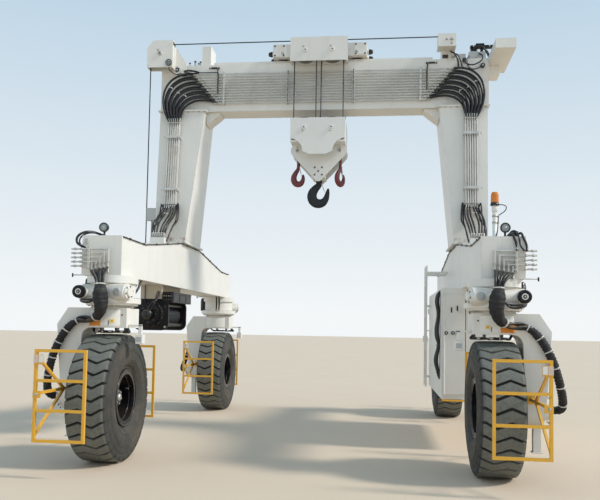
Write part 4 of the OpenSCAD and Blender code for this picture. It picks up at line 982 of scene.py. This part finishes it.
def guard_plates(corner, sx, sy):
    """Reflector, pale plate and bolted bracket on each guard."""
    shape = Shape()
    tubes, plate, thick = 1.2165, 1.2245, 0.004
    for s in SIDES:
        axis, face = s*BACK, s*tubes
        y0, y1 = sorted((s*plate, s*(plate + thick)))
        shape.box((0.358, y0, 1.296), (0.412, y1, 1.386), REFLECTOR, 0.002)
        shape.box((0.302, y0, 1.3), (0.352, y1, 1.384), WHITE, 0.002)
        y0, y1 = sorted((face, face + 2*s*thick))
        shape.box((0.318, y0, 0.905), (0.412, y1, 0.985), YELLOW)
        shape.nut((0.372, face + 2*s*thick, 0.945), axis, 0.014, ZINC)
        shape.nuts(axis, 0.006, YELLOW, *((x, face, z) for x in (-0.1835, 0.3935) for z in (0.64, 1.075)))
    shape.object(f"guard_plates_{corner}", f"steer_{corner}", corner_place(sx, sy))


def work_light(sx):
    """A round lamp: black housing with cooling ribs, dark rim and ribbed glass, on its bracket."""
    shape = Shape()
    x, z = 2.535, 2.998
    for y, material, sides, profile in (
            (-3.066, BLACK, 32, [(0, 0.05), (0.002, 0.06), (0.01, 0.063), (0.018, 0.06), (0.045, 0.058),
                                 (0.07, 0.046), (0.08, 0.02)]),
            (-3.072, GLASS, 32, [(0, 0.012), (0.001, 0.03), (0.005, 0.046)]),
            (-3.074, ZINC, 20, [(0, 0.006), (0.001, 0.014), (0.004, 0.016)])):
        shape.lathe(profile, (x, y, z), BACK, material, sides)
    for k in range(3):
        r = 0.06 - 0.003*k
        shape.lathe([(0, 0.05), (0.001, r), (0.005, r), (0.006, 0.05)], (x, -3.04 + 0.012*k, z), BACK, BLACK, 32)
    shape.loop(ring((x, -3.067, z), 0.053*OUT, 0.053*UP, 40), 0.0085, BLACK)
    shape.stub((x, -3.03, BEAM_TOP), UP, 0.075, 0.013, BLACK, 12)
    shape.stub((x, -3.03, BEAM_TOP), UP, 0.012, 0.034, BLACK)
    shape.box((x - 0.012, -3.042, 2.925), (x + 0.012, -3.018, 2.95), BLACK)
    shape.object(f"lamp_{side_name(sx)}", "frame", side_place(sx), ["work_lights"])


def beacon():
    """Amber beacon on a white post, with its clamps and its cable."""
    shape = Shape()
    x, y = 2.7, -1.2
    foot = HUMP_TOP - (abs(y) + 0.03 - 0.6)*(HUMP_TOP - BEAM_TOP)/1.73 + 0.001
    for z, material, sides, profile in (
            (foot, WHITE_BLOCK, 24, [(0, 0.052), (0.008, 0.052), (0.01, 0.032), (3.5 - foot, 0.032)]),
            (3.5, WHITE_BLOCK, 24, [(0, 0.034), (0.005, 0.043), (0.095, 0.043), (0.1, 0.036)]),
            (3.592, BLACK, 32, [(0, 0.04), (0.004, 0.064), (0.024, 0.066), (0.03, 0.06), (0.048, 0.06),
                                (0.05, 0.052)]),
            (3.64, AMBER, 32, [(0, 0.058), (0.02, 0.0585), (0.11, 0.056), (0.14, 0.05), (0.156, 0.036),
                                (0.16, 0.015)])):
        shape.lathe(profile, (x, y, z), UP, material, sides)
    for z in (3.33, 3.425):
        shape.lathe([(0, 0.032), (0.001, 0.039), (0.022, 0.039), (0.023, 0.032)], (x, y, z), UP, ZINC)
        shape.box((x + 0.03, y - 0.012, z), (x + 0.062, y + 0.012, z + 0.023), DARK)
        shape.nut((x + 0.05, y - 0.012, z + 0.012), FRONT, 0.007, ZINC)
    shape.hose([(x + 0.05, y, 3.61), (x + 0.12, y, 3.606), (x + 0.165, y, 3.58), (x + 0.15, y, 3.52),
                (x + 0.085, y, 3.47), (x + 0.056, y, 3.44), (x + 0.048, y, 3.34), (x + 0.044, y, 3.26),
                (x + 0.02, y - 0.04, 3.14), (x - 0.04, y - 0.05, foot + 0.006), (x - 0.12, y + 0.05, foot + 0.025)],
               0.007, 8)
    shape.object("beacon_lamp", "frame", replaces=["beacon"])


def leg_bolts(sx):
    """Bolts in the leg's foot and head flanges, and the weld beads round it."""
    shape = Shape()
    for s in SIDES:
        shape.nuts(UP, 0.014, WHITE_RUSTY, *((x, s*0.527, 3.125) for x in grid(2.185, 2.705, 8)))
        for x in grid(1.96, 2.7, 9):
            shape.nut((x, s*0.324, 5.375), DOWN, 0.012, ZINC)
            shape.nut((x, s*0.3, PORTAL_Z), UP, 0.012, ZINC)
    shape.nuts(UP, 0.012, WHITE_RUSTY, *((2.168, y, 3.125) for y in grid(-0.42, 0.42, 7)))
    for x0, x1, y, z in ((2.19, 2.71, 0.5, 3.127), (1.95, 2.725, 0.31, 5.373)):
        turns = [Vector((x0, -y, z)), Vector((x1, -y, z)), Vector((x1, y, z)), Vector((x0, y, z))]
        bead = [a.lerp(b, k/12) for a, b in zip(turns, turns[1:] + turns[:1]) for k in range(12)]
        shape.loop(bead, [0.007 + 0.0012*(k % 2) for k in range(len(bead))], WHITE, 6)
    for z in (4.9, 4.0):
        shape.nuts(FRONT, 0.01, ZINC, *(leg_pipe(2, 1, z) + Vector((0.018 + 0.058*k, -0.012, 0)) for k in (-2, 2)))
    shape.object(f"leg_bolts_{side_name(sx)}", "frame", side_place(sx))


def beam_cable(sx):
    """The cable in cleats along the side beam's upper inboard edge."""
    shape = Shape()
    profile = [(-3.2, BEAM_TOP), (-2.33, BEAM_TOP), (-0.6, HUMP_TOP), (0.6, HUMP_TOP), (2.33, BEAM_TOP),
               (2.95, BEAM_TOP)]
    path = even([(BEAM_IN - 0.009, y, z - 0.012) for y, z in profile], 0.06)
    rng = random.Random(7)
    shape.tube([p + rng.uniform(-0.003, 0.003)*UP for p in path], 0.009, HOSE, 8)
    cleat = Vector((0.012, 0.012, 0.014))
    for p in path[4::9]:
        shape.box(p - cleat, p + cleat, DARK)
    shape.object(f"beam_cable_{side_name(sx)}", "frame", side_place(sx))


def crossbeam_fittings():
    """Clips and clamps of the pipes, rails' small parts, and the reels and cables at the two ends."""
    shape = Shape()
    face = -0.203
    for s in SIDES:
        for i in range(12):
            z = pipe_z(i)
            if i < 8:
                shape.box((s*1.755 - 0.012, -0.268, z - 0.01), (s*1.755 + 0.012, face - 0.001, z + 0.01), DARK)
            shape.stub((s*(pipe_end(i) - 0.075), PIPE_Y, z), s*OUT, 0.03, 0.0185, ZINC, 6)
        shape.nuts(FRONT, 0.009, ZINC, *((s*x, -0.267, pipe_z(i) - 0.023) for x in (1.65, 0.55)
                                         for i in range(-1, 12, 2)))
        shape.boxes(DARK, (s*0.55 - 0.006, -0.272, 5.49, s*0.55 + 0.006, -0.264, 6.062),
                    (s*1.83 - 0.09, -0.226, 6.14, s*1.83 + 0.09, face, 6.166))
        shape.nuts(FRONT, 0.01, ZINC, *((s*x, -0.226, 6.153) for x in (1.765, 1.895)))
        shape.hose([(s*1.755, -0.23, 6.15), (s*1.765, -0.24, 6.1), (s*1.757, -0.245, 6.05)], 0.01, 8, 5)
    for x, r, h in ((-2.274, 0.012, 0.06), (-2.18, 0.016, 0.085), (-2.12, 0.01, 0.05), (-2.088, 0.014, 0.075)):
        shape.stub((x, -0.17, CROSS_TOP - 0.004), UP, h + 0.004, r, ZINC, 8)
        shape.stub((x, -0.17, CROSS_TOP + h - 0.02), UP, 0.024, 1.3*r, DARK, 8)

    # Left: a horn, a cable reel and the cables to the trolley
    for (x, y, z), r, deep, rim in (((-2.554, -0.452, 6.167), 0.05, 0.04, BLACK),
                                    ((-2.47, -0.205, 6.12), 0.068, 0.06, WHITE_BLOCK)):
        shape.lathe([(0, 0.8*r), (deep, r), (deep + 0.006, 0.96*r)], (x, y, z), FRONT, rim, 32)
        shape.lathe([(deep + 0.006, 0.8*r), (deep + 0.008, 0.76*r), (deep + 0.004, 0.3*r), (deep + 0.012, 0.12*r)],
                    (x, y, z), FRONT, GREY, 32)
        shape.loop(ring((x, y - deep - 0.004, z), r*OUT, r*UP, 40), 0.0065, rim)
    shape.box((-2.6, -0.47, 6.096), (-2.5, -0.38, 6.112), WHITE)
    shape.stub((-2.554, -0.43, 6.096), UP, 0.039, 0.012, BLACK, 10)
    shape.box((-2.42, -0.262, 6.06), (-2.34, face, 6.16), WHITE_BLOCK, 0.008)
    shape.nut_ring((-2.38, -0.262, 6.11), FRONT, 0.03, 4, 0.006, ZINC)
    for r, *path in CROSSBEAM_CABLES:
        shape.hose(path, r, 8)

    # Right: valves at the rope's anchor, and the cover
    shape.box((2.434, -0.205, 6.216), (2.584, -0.178, 6.33), GREY, 0.006)
    shape.nuts(FRONT, 0.006, ZINC, *((x, -0.205, z) for x in (2.45, 2.568) for z in (6.232, 6.314)))
    shape.stub((2.654, face, 6.078), FRONT, 0.059, 0.036, BLACK, 24)
    shape.stub((2.654, -0.262, 6.078), FRONT, 0.006, 0.018, ZINC, 12)
    shape.box((2.33, -0.262, 6.15), (2.385, face, 6.205), BLACK)
    for x, z, r in ((2.139, 6.46, 0.022), (2.06, 6.46, 0.016), (2.139, 6.395, 0.016)):
        shape.nut((x, -0.42, z), FRONT, r, ZINC)
    for x, material in ((2.03, BLACK), (2.08, BLACK), (2.17, ZINC), (2.213, ZINC)):
        shape.stub((x, face, 6.25), FRONT, 0.059, 0.016, material, 10)
    for x, material in ((2.03, BLACK), (2.17, ZINC)):
        shape.box((x - 0.025, -0.232, 6.225), (x + 0.068, face, 6.275), material)
    for x, y, h in ((2.5, -0.075, 0.1), (2.58, 0.02, 0.13), (2.66, -0.075, 0.1)):
        shape.stub((x, y, 6.33), UP, 0.002 + h, 0.026, BLACK, 16)
    shape.box((2.47, -0.115, 6.425), (2.93, -0.035, 6.47), BLACK_SOFT, 0.006)
    shape.box((2.56, -0.105, 6.47), (2.7, -0.045, 6.505), BLACK_SOFT, 0.006)
    shape.stub((2.88, -0.075, 6.248), UP, 0.182, 0.02, BLACK, 16)
    for x in (2.52, 2.6, 2.78, 2.88):
        shape.stub((x, -0.115, 6.447), FRONT, 0.02, 0.013, ZINC, 10)
    # Sheave housing's pin and the rope's stop plates
    shape.pin_end((-2.72, -0.467, 6.34), FRONT, 0.04, ZINC, (-0.6, 0, 1))
    shape.nuts(FRONT, 0.009, WHITE, *((x, -0.455, z) for x, z in ((-2.9, 6.14), (-2.54, 6.14), (-2.54, 6.5))))
    shape.object("crossbeam_fittings", "frame")


# Radius, then the points: four cables at the left end, then those of the anchor, the cover and the valves
CROSSBEAM_CABLES = [
    (0.008, (-2.554, -0.46, 6.12), (-2.56, -0.43, 6.07), (-2.5, -0.35, 6.03), (-2.4, -0.29, 6.02),
     (-2.25, -0.27, 6.045), (-2.1, -0.262, 6.06), (-1.755, -0.25, 6.062)),
    (0.016, (-2.345, -0.25, 6.1), (-2.25, -0.29, 6.092), (-2.15, -0.29, 6.078), (-2.08, -0.262, 6.062)),
    (0.012, (-2.345, -0.245, 6.075), (-2.28, -0.275, 6.06), (-2.18, -0.27, 6.045), (-2.09, -0.262, 6.058)),
    (0.01, (-2.47, -0.25, 6.06), (-2.43, -0.275, 6.02), (-2.33, -0.28, 6.005), (-2.24, -0.262, 6.04)),
    (0.014, (2.141, -0.215, 6.33), (2.2, -0.3, 6.26), (2.245, -0.31, 6.15), (2.262, -0.275, 6.04)),
    (0.011, (2.213, -0.215, 6.29), (2.25, -0.29, 6.24), (2.3, -0.29, 6.12), (2.33, -0.255, 6.03)),
    (0.011, (2.356, -0.25, 6.183), (2.372, -0.29, 6.11), (2.428, -0.3, 6.075), (2.5, -0.305, 6.07),
     (2.56, -0.3, 6.093), (2.625, -0.29, 6.14), (2.651, -0.27, 6.196), (2.64, -0.24, 6.25),
     (2.6, -0.2, 6.293)),
    (0.009, (2.44, -0.205, 6.25), (2.4, -0.26, 6.18), (2.42, -0.29, 6.04), (2.52, -0.29, 6.0),
     (2.64, -0.26, 6.06)),
    (0.012, (2.5, -0.1, 6.34), (2.56, -0.18, 6.42), (2.66, -0.2, 6.4), (2.72, -0.18, 6.32),
     (2.76, -0.15, 6.255)),
    (0.012, (2.47, 0.0, 6.34), (2.6, -0.02, 6.45), (2.74, -0.05, 6.4), (2.8, -0.06, 6.255)),
]


def trolley_fittings():
    """Pin ends with keepers, bolted end plates and rubber buffers."""
    shape = Shape()
    for s in SIDES:
        axis = s*BACK
        for x in SHEAVES_X:
            shape.pin_end((TROLLEY_X + x, s*SHEAVE_FACE, TROLLEY_SHEAVE_Z), axis, 0.036, WHITE_BLOCK, (-0.5, 0, 1))
        y0, y1 = sorted((s*0.29, s*0.299))
        for t in SIDES:
            x = TROLLEY_X + t*0.68
            shape.box((x - 0.1, y0, 6.288), (x + 0.1, y1, 6.494), WHITE_BLOCK)
            shape.nuts(axis, 0.011, DARK, *((x + dx, s*0.299, 6.391 + dz) for dx in (-0.075, 0.075)
                                            for dz in (-0.08, 0.08)))
            x = TROLLEY_X + t*0.62
            shape.stub((x, s*0.299, 6.35), axis, 0.01, 0.026, ZINC)
            shape.nut((x, s*0.309, 6.35), axis, 0.014, ZINC)
            start = Vector((TROLLEY_X + t*0.815, s*0.15, 6.387))
            shape.lathe([(-0.02, 0.046), (-0.004, 0.046), (0, 0.031)], start, t*OUT, WHITE_BLOCK)
            shape.lathe([(0, 0.031), (0.002, 0.044), (0.03, 0.044), (0.062, 0.033), (0.07, 0.024)], start, t*OUT, DARK)
    shape.object("trolley_fittings", "trolley")


def block_fittings():
    """Pin ends on the block's plates and the bolts in the V plates."""
    shape = Shape()
    for s in SIDES:
        for x in SHEAVES_X:
            shape.pin_end((TROLLEY_X + x, s*SHEAVE_FACE, BLOCK_SHEAVE_Z), s*BACK, 0.036, WHITE_BLOCK, (-0.3, 0, -1))
        for x in (-HOOK_X, HOOK_X):
            shape.pin_end((TROLLEY_X + x, s*0.22, HOOK_Z), s*BACK, 0.03, GREY, UP)
        shape.nuts(s*BACK, 0.013, CAST, *((TROLLEY_X + dx, s*0.2, 4.363 + dz) for dx, dz in (
            (0, 0), (-0.061, -0.061), (0.061, -0.061), (-0.061, 0.061), (0.061, 0.061))))
    shape.object("block_fittings", "block")


# The hooks' bars: x, z and radius of each station in millimetres, and how flat they are
HOOK_BARS = {
    "main": ([(0, -10, 50), (0, -60, 50), (-8, -105, 52), (-52, -153, 62), (-98, -215, 76), (-118, -285, 82),
              (-100, -360, 82), (-48, -407, 80), (15, -416, 77), (72, -395, 68), (114, -345, 54), (136, -281, 43),
              (148, -220, 32), (156, -170, 18)], 0.66),
    "side": ([(0, 0, 28), (0, -215, 28), (-10, -275, 32), (-46, -335, 40), (-74, -400, 48), (-73, -466, 52),
              (-40, -514, 53), (8, -528, 52), (52, -508, 46), (78, -460, 36), (84, -406, 27), (80, -366, 14)], 0.7)}
# Their latches: hinge and tip in x and z, and half the width
LATCHES = {"main": (0.046, -0.088, 0.113, -0.243, 0.019), "side": (0.024, -0.245, 0.059, -0.398, 0.012)}


def hook(kind, node, body, material, x, z, twist=0):
    """A forged hook as a round bar that swells at the bend, with its spring latch."""
    shape = Shape()
    stations, flat = HOOK_BARS[kind]
    path = smooth_path([(p[0]/1000, 0, p[1]/1000) for p in stations], 4)
    radii = [along([p[2]/1000 for p in stations], i/(len(path) - 1)) for i in range(len(path))]
    path.append(path[-1] + (path[-1] - path[-2]).normalized()*0.6*radii[-1])
    shape.tube(path, radii + [0.4*radii[-1]], material, 24, flat=flat, side=OUT)
    x0, z0, x1, z1, half = LATCHES[kind]
    hinge, tip = Vector((x0, 0, z0)), Vector((x1, 0, z1))
    run, length = (tip - hinge).normalized(), (tip - hinge).length
    turn = Matrix.Translation(hinge) @ Matrix((run.cross(BACK), BACK, run)).transposed().to_4x4()
    shape.box((-0.003, -half, 0), (0.003, half, length), ZINC, 0.001, turn)
    for s in SIDES:
        shape.box((-0.01, s*half - 0.0025, -0.012), (0.003, s*half + 0.0025, 0.6*length), ZINC, 0.001, turn)
    shape.rod(hinge + (half + 0.012)*FRONT, hinge + (half + 0.012)*BACK, 0.008, ZINC, 12)
    if kind == "main":
        shape.stub((0, 0, -0.035), UP, 0.2, 0.044, material, 24)
        shape.stub((0, 0, 0.146), UP, 0.074, 0.08, material, 6)
    else:
        back = Matrix.Rotation(-math.radians(twist), 4, "Z")
        shape.loop([back @ p for p in ring((0, 0, 0), 0.046*OUT, 0.046*UP, 32)], 0.0165, material, 12)
        shape.rod(back @ (0.03*FRONT), back @ (0.03*BACK), 0.0285, CAST)
    place = Matrix.Translation((TROLLEY_X + x, 0, z)) @ Matrix.Rotation(math.radians(twist), 4, "Z")
    shape.object(f"{node}_bar", body, place, [node])


def winch_fittings():
    """Bolts, cover and cables on the winch's end plate and motor."""
    shape = Shape()
    x, z = WINCH_X, WINCH_Z
    plate, gear, motor = (Vector((x, y, z)) for y in (-1.28, -1.41, -1.48))
    shape.lathe([(0, 0.205), (0.012, 0.2), (0.014, 0.15)], plate, FRONT, BLACK_SOFT, 40)
    shape.lathe([(0, 0.078), (0.01, 0.078), (0.014, 0.06), (0.03, 0.052), (0.034, 0.03)], motor, FRONT, BLACK, 32)
    shape.nut_ring(plate + 0.012*FRONT, FRONT, 0.178, 12, 0.012, BLACK)
    shape.nut_ring(gear, FRONT, 0.12, 8, 0.011, BLACK)
    shape.nut_ring(motor + 0.01*FRONT, FRONT, 0.064, 6, 0.008, BLACK)
    for dx, dz in ((-0.225, -0.185), (0.225, -0.185), (-0.225, 0.185), (0.225, 0.12)):
        shape.nut(plate + Vector((dx, 0, dz)), FRONT, 0.013, ZINC if dz < 0 else BLACK)
    for n, (dx, dz) in enumerate(((0.055, 0.13), (0.02, 0.15))):
        up = x + 0.14 - 0.03*n
        loop = [(x + dx, -1.455, z + dz - 0.06), (x + dx + 0.05, -1.46, z + dz + 0.03), (x + 0.1, -1.4, z + 0.2),
                (up - 0.01, -1.33, z + 0.275), (up, -1.25, 2.3), (up, -1.23, 2.365)]
        shape.hose(loop, 0.013)
        shape.crimp(loop[0], loop[1], 0.013, BLACK)
    shape.tube([(-2.56, -1.305, 2.365), (-2.56, -1.305, 2.09)], 0.008, HOSE, 8)

    # The valve block on top of the winch
    shape.boxes(BLACK_SOFT, (-2.292, -1.292, 2.104, -2.128, -1.278, 2.236),
                *((-2.132, low, 2.112, -2.124, high, 2.228)
                  for low, high in ((-1.25, -0.95), (-0.9, -0.6), (-0.55, -0.26))))
    for dx in (-2.265, -2.228, -2.191, -2.154):
        shape.stub((dx, -1.292, 2.195), FRONT, 0.006, 0.009, ZINC, 10)
        shape.nut((dx, -1.292, 2.135), FRONT, 0.009, BLACK)
    shape.box((-2.3, -1.27, 2.236), (-2.12, -0.25, 2.262), BLACK_MATT)

    # The rope's lower guide
    for end in ((-2.728, -1.3, 1.9), (-2.728, -1.3, 1.772)):
        shape.tube([(-2.845, -1.3, 1.906), end], 0.01, BLACK, 8)
    shape.rod((-2.74, -1.3, 1.74), (-2.6, -1.275, 1.74), 0.012, BLACK, 10)
    shape.box((-2.742, -1.312, 1.745), (-2.714, -1.262, 1.925), BLACK)
    shape.stub((-2.689, -1.315, 1.736), BACK, 0.053, 0.028, BLACK)
    shape.stub((-2.689, -1.322, 1.736), BACK, 0.007, 0.014, ZINC, 12)
    shape.object("winch_fittings", "frame")


def door_fittings():
    """Slots and knobs on the service door, and the handles on the two side doors."""
    shape = Shape()
    face = -1.3755
    shape.boxes(DARK, *((x - 0.01, -1.383, z - 0.038, x + 0.01, face, z + 0.038)
                        for x, z in ((2.064, 2.039), (2.147, 2.064))))
    for x, z in ((1.99, 1.706), (2.085, 1.707)):
        shape.stub((x, -1.376, z), FRONT, 0.016, 0.026, BLACK)
        shape.stub((x, -1.392, z), FRONT, 0.01, 0.012, ZINC, 12)
    shape.box((2.13, -1.384, 1.672), (2.18, face, 1.742), BLACK)
    shape.object("door_service_fittings", "door_service")
    for end, y in (("front", -0.16), ("rear", 0.16)):
        shape = Shape()
        for z in (1.15, 1.65):
            shape.stub((2.805, y, z), OUT, 0.023, 0.012, ZINC, 12)
            shape.box((2.82, y - 0.014, z - 0.05), (2.832, y + 0.014, z + 0.05), BLACK)
        shape.object(f"door_{end}_handles", f"door_{end}")


def power_pack_fittings():
    """The panel's frame and seal on the power pack, and the hoses that hang on its inboard side."""
    shape = Shape()
    face = -1.349
    shape.box((2.262, -1.356, 0.85), (2.272, face, 2.26), DARK)
    shape.boxes(BLACK, *((2.318, -1.358, z, 2.692, face, z + 0.014) for z in (1.768, 2.138)),
                *((x, -1.358, 1.768, x + 0.012, face, 2.152) for x in (2.318, 2.68)))
    for y, out in ((-1.04, 0.035), (-1.0, 0.05), (-0.95, 0.03)):
        shape.hose([(1.99, y, 2.362), (1.93 - out/2, y, 2.29), (1.925 - out, y - 0.02, 2.18),
                    (1.915 - out/3, y, 2.04), (1.905, y + 0.01, 1.96), (1.925 - out, y, 1.78),
                    (1.93 - out, y - 0.02, 1.64), (1.912, y, 1.52), (1.915 - out, y, 1.3), (1.912, y, 1.1),
                    (1.94, y, 1.02)], 0.024, 10, 5)
    shape.boxes(BLACK, *((1.88, -1.075, z - 0.014, 1.932, -0.915, z + 0.014) for z in (2.03, 1.51, 1.11)))
    shape.object("power_pack_fittings", "frame")


# Camera, light and floor

CAMERA_AT = (1.0425, -11.7421, 1.7356)
YAW, PITCH, ROLL = math.radians(6.59), math.radians(3.117), math.radians(1.012)
FOCAL_PX, CENTRE_Y_PX = 701.37, 290.03
FRAME_W, FRAME_H = 600, 500


def add_camera():
    right0 = Vector((math.cos(YAW), math.sin(YAW), 0))
    ahead0 = Vector((-math.sin(YAW), math.cos(YAW), 0))
    ahead = ahead0*math.cos(PITCH) + UP*math.sin(PITCH)
    up = UP*math.cos(PITCH) - ahead0*math.sin(PITCH)
    right = right0*math.cos(ROLL) + up*math.sin(ROLL)
    up = up*math.cos(ROLL) - right0*math.sin(ROLL)
    data = bpy.data.cameras.new("camera")
    data.sensor_width = 36
    data.lens = FOCAL_PX*data.sensor_width/FRAME_W
    data.shift_y = (CENTRE_Y_PX - FRAME_H/2)/FRAME_W
    camera = bpy.data.objects.new("camera", data)
    axes = Matrix((right, up, -ahead)).transposed()
    camera.matrix_world = Matrix.Translation(CAMERA_AT) @ axes.to_4x4()
    bpy.context.scene.collection.objects.link(camera)
    bpy.context.scene.camera = camera


def add_light():
    sun = bpy.data.lights.new("sun", "SUN")
    sun.energy = 2.7
    sun.angle = math.radians(9)
    sun.color = (1.0, 0.945, 0.87)
    lamp = bpy.data.objects.new("sun", sun)
    towards = Vector((0.86, -0.1, 0.72))
    lamp.rotation_euler = towards.to_track_quat("Z", "Y").to_euler()
    bpy.context.scene.collection.objects.link(lamp)
    world = bpy.data.worlds.new("sky")
    world.use_nodes = True
    tree = world.node_tree
    back = tree.nodes["Background"]
    coords = tree.nodes.new("ShaderNodeTexCoord")
    height = tree.nodes.new("ShaderNodeSeparateXYZ")
    tree.links.new(coords.outputs["Generated"], height.inputs[0])
    share = tree.nodes.new("ShaderNodeMapRange")
    share.inputs[1].default_value = 0.02
    share.inputs[2].default_value = 0.5
    tree.links.new(height.outputs[2], share.inputs[0])
    mix = tree.nodes.new("ShaderNodeMix")
    mix.data_type = "RGBA"
    mix.inputs[6].default_value = (0.9, 0.93, 0.94, 1)
    mix.inputs[7].default_value = (0.44, 0.61, 0.76, 1)
    tree.links.new(share.outputs[0], mix.inputs[0])
    tree.links.new(mix.outputs[2], back.inputs["Color"])
    back.inputs["Strength"].default_value = 1.0
    bpy.context.scene.world = world
    bpy.context.scene.view_settings.view_transform = "Standard"


def add_floor():
    g = Graph("floor")
    g.finish(g.mix(g.noise(0.6, 3), (0.62, 0.5, 0.38), (0.68, 0.56, 0.43)), 0.9)
    half = 150
    mesh = bpy.data.meshes.new("floor")
    mesh.from_pydata([(-half, -half, 0), (half, -half, 0), (half, half, 0), (-half, half, 0)], [], [(0, 1, 2, 3)])
    mesh.materials.append(g.material)
    floor = bpy.data.objects.new("floor", mesh)
    bpy.context.scene.collection.objects.link(floor)


add_camera()
add_light()
add_floor()
dress_nodes()
for corner, (sx, sy) in CORNERS.items():
    tyre(corner, sx, sy)
    rim_details(corner, sx, sy)
    arm_hoses(corner, sx, sy)
    end_fittings(corner, sx, sy)
    arm_fittings(corner, sx, sy)
    guard_plates(corner, sx, sy)
for sx in SIDES:
    corner_hoses(sx)
    leg_hoses(sx)
    leg_bolts(sx)
    beam_cable(sx)
    work_light(sx)
hoist_rope()
falls()
drum()
beacon()
crossbeam_fittings()
trolley_fittings()
block_fittings()
hook("main", "main_hook", "hook", FORGED, 0, 4.265)
hook("side", "side_hook_left", "hook_left", RED, -HOOK_X, HOOK_Z)
hook("side", "side_hook_right", "hook_right", RED, HOOK_X, HOOK_Z, twist=50)
winch_fittings()
power_pack_fittings()
door_fittings()
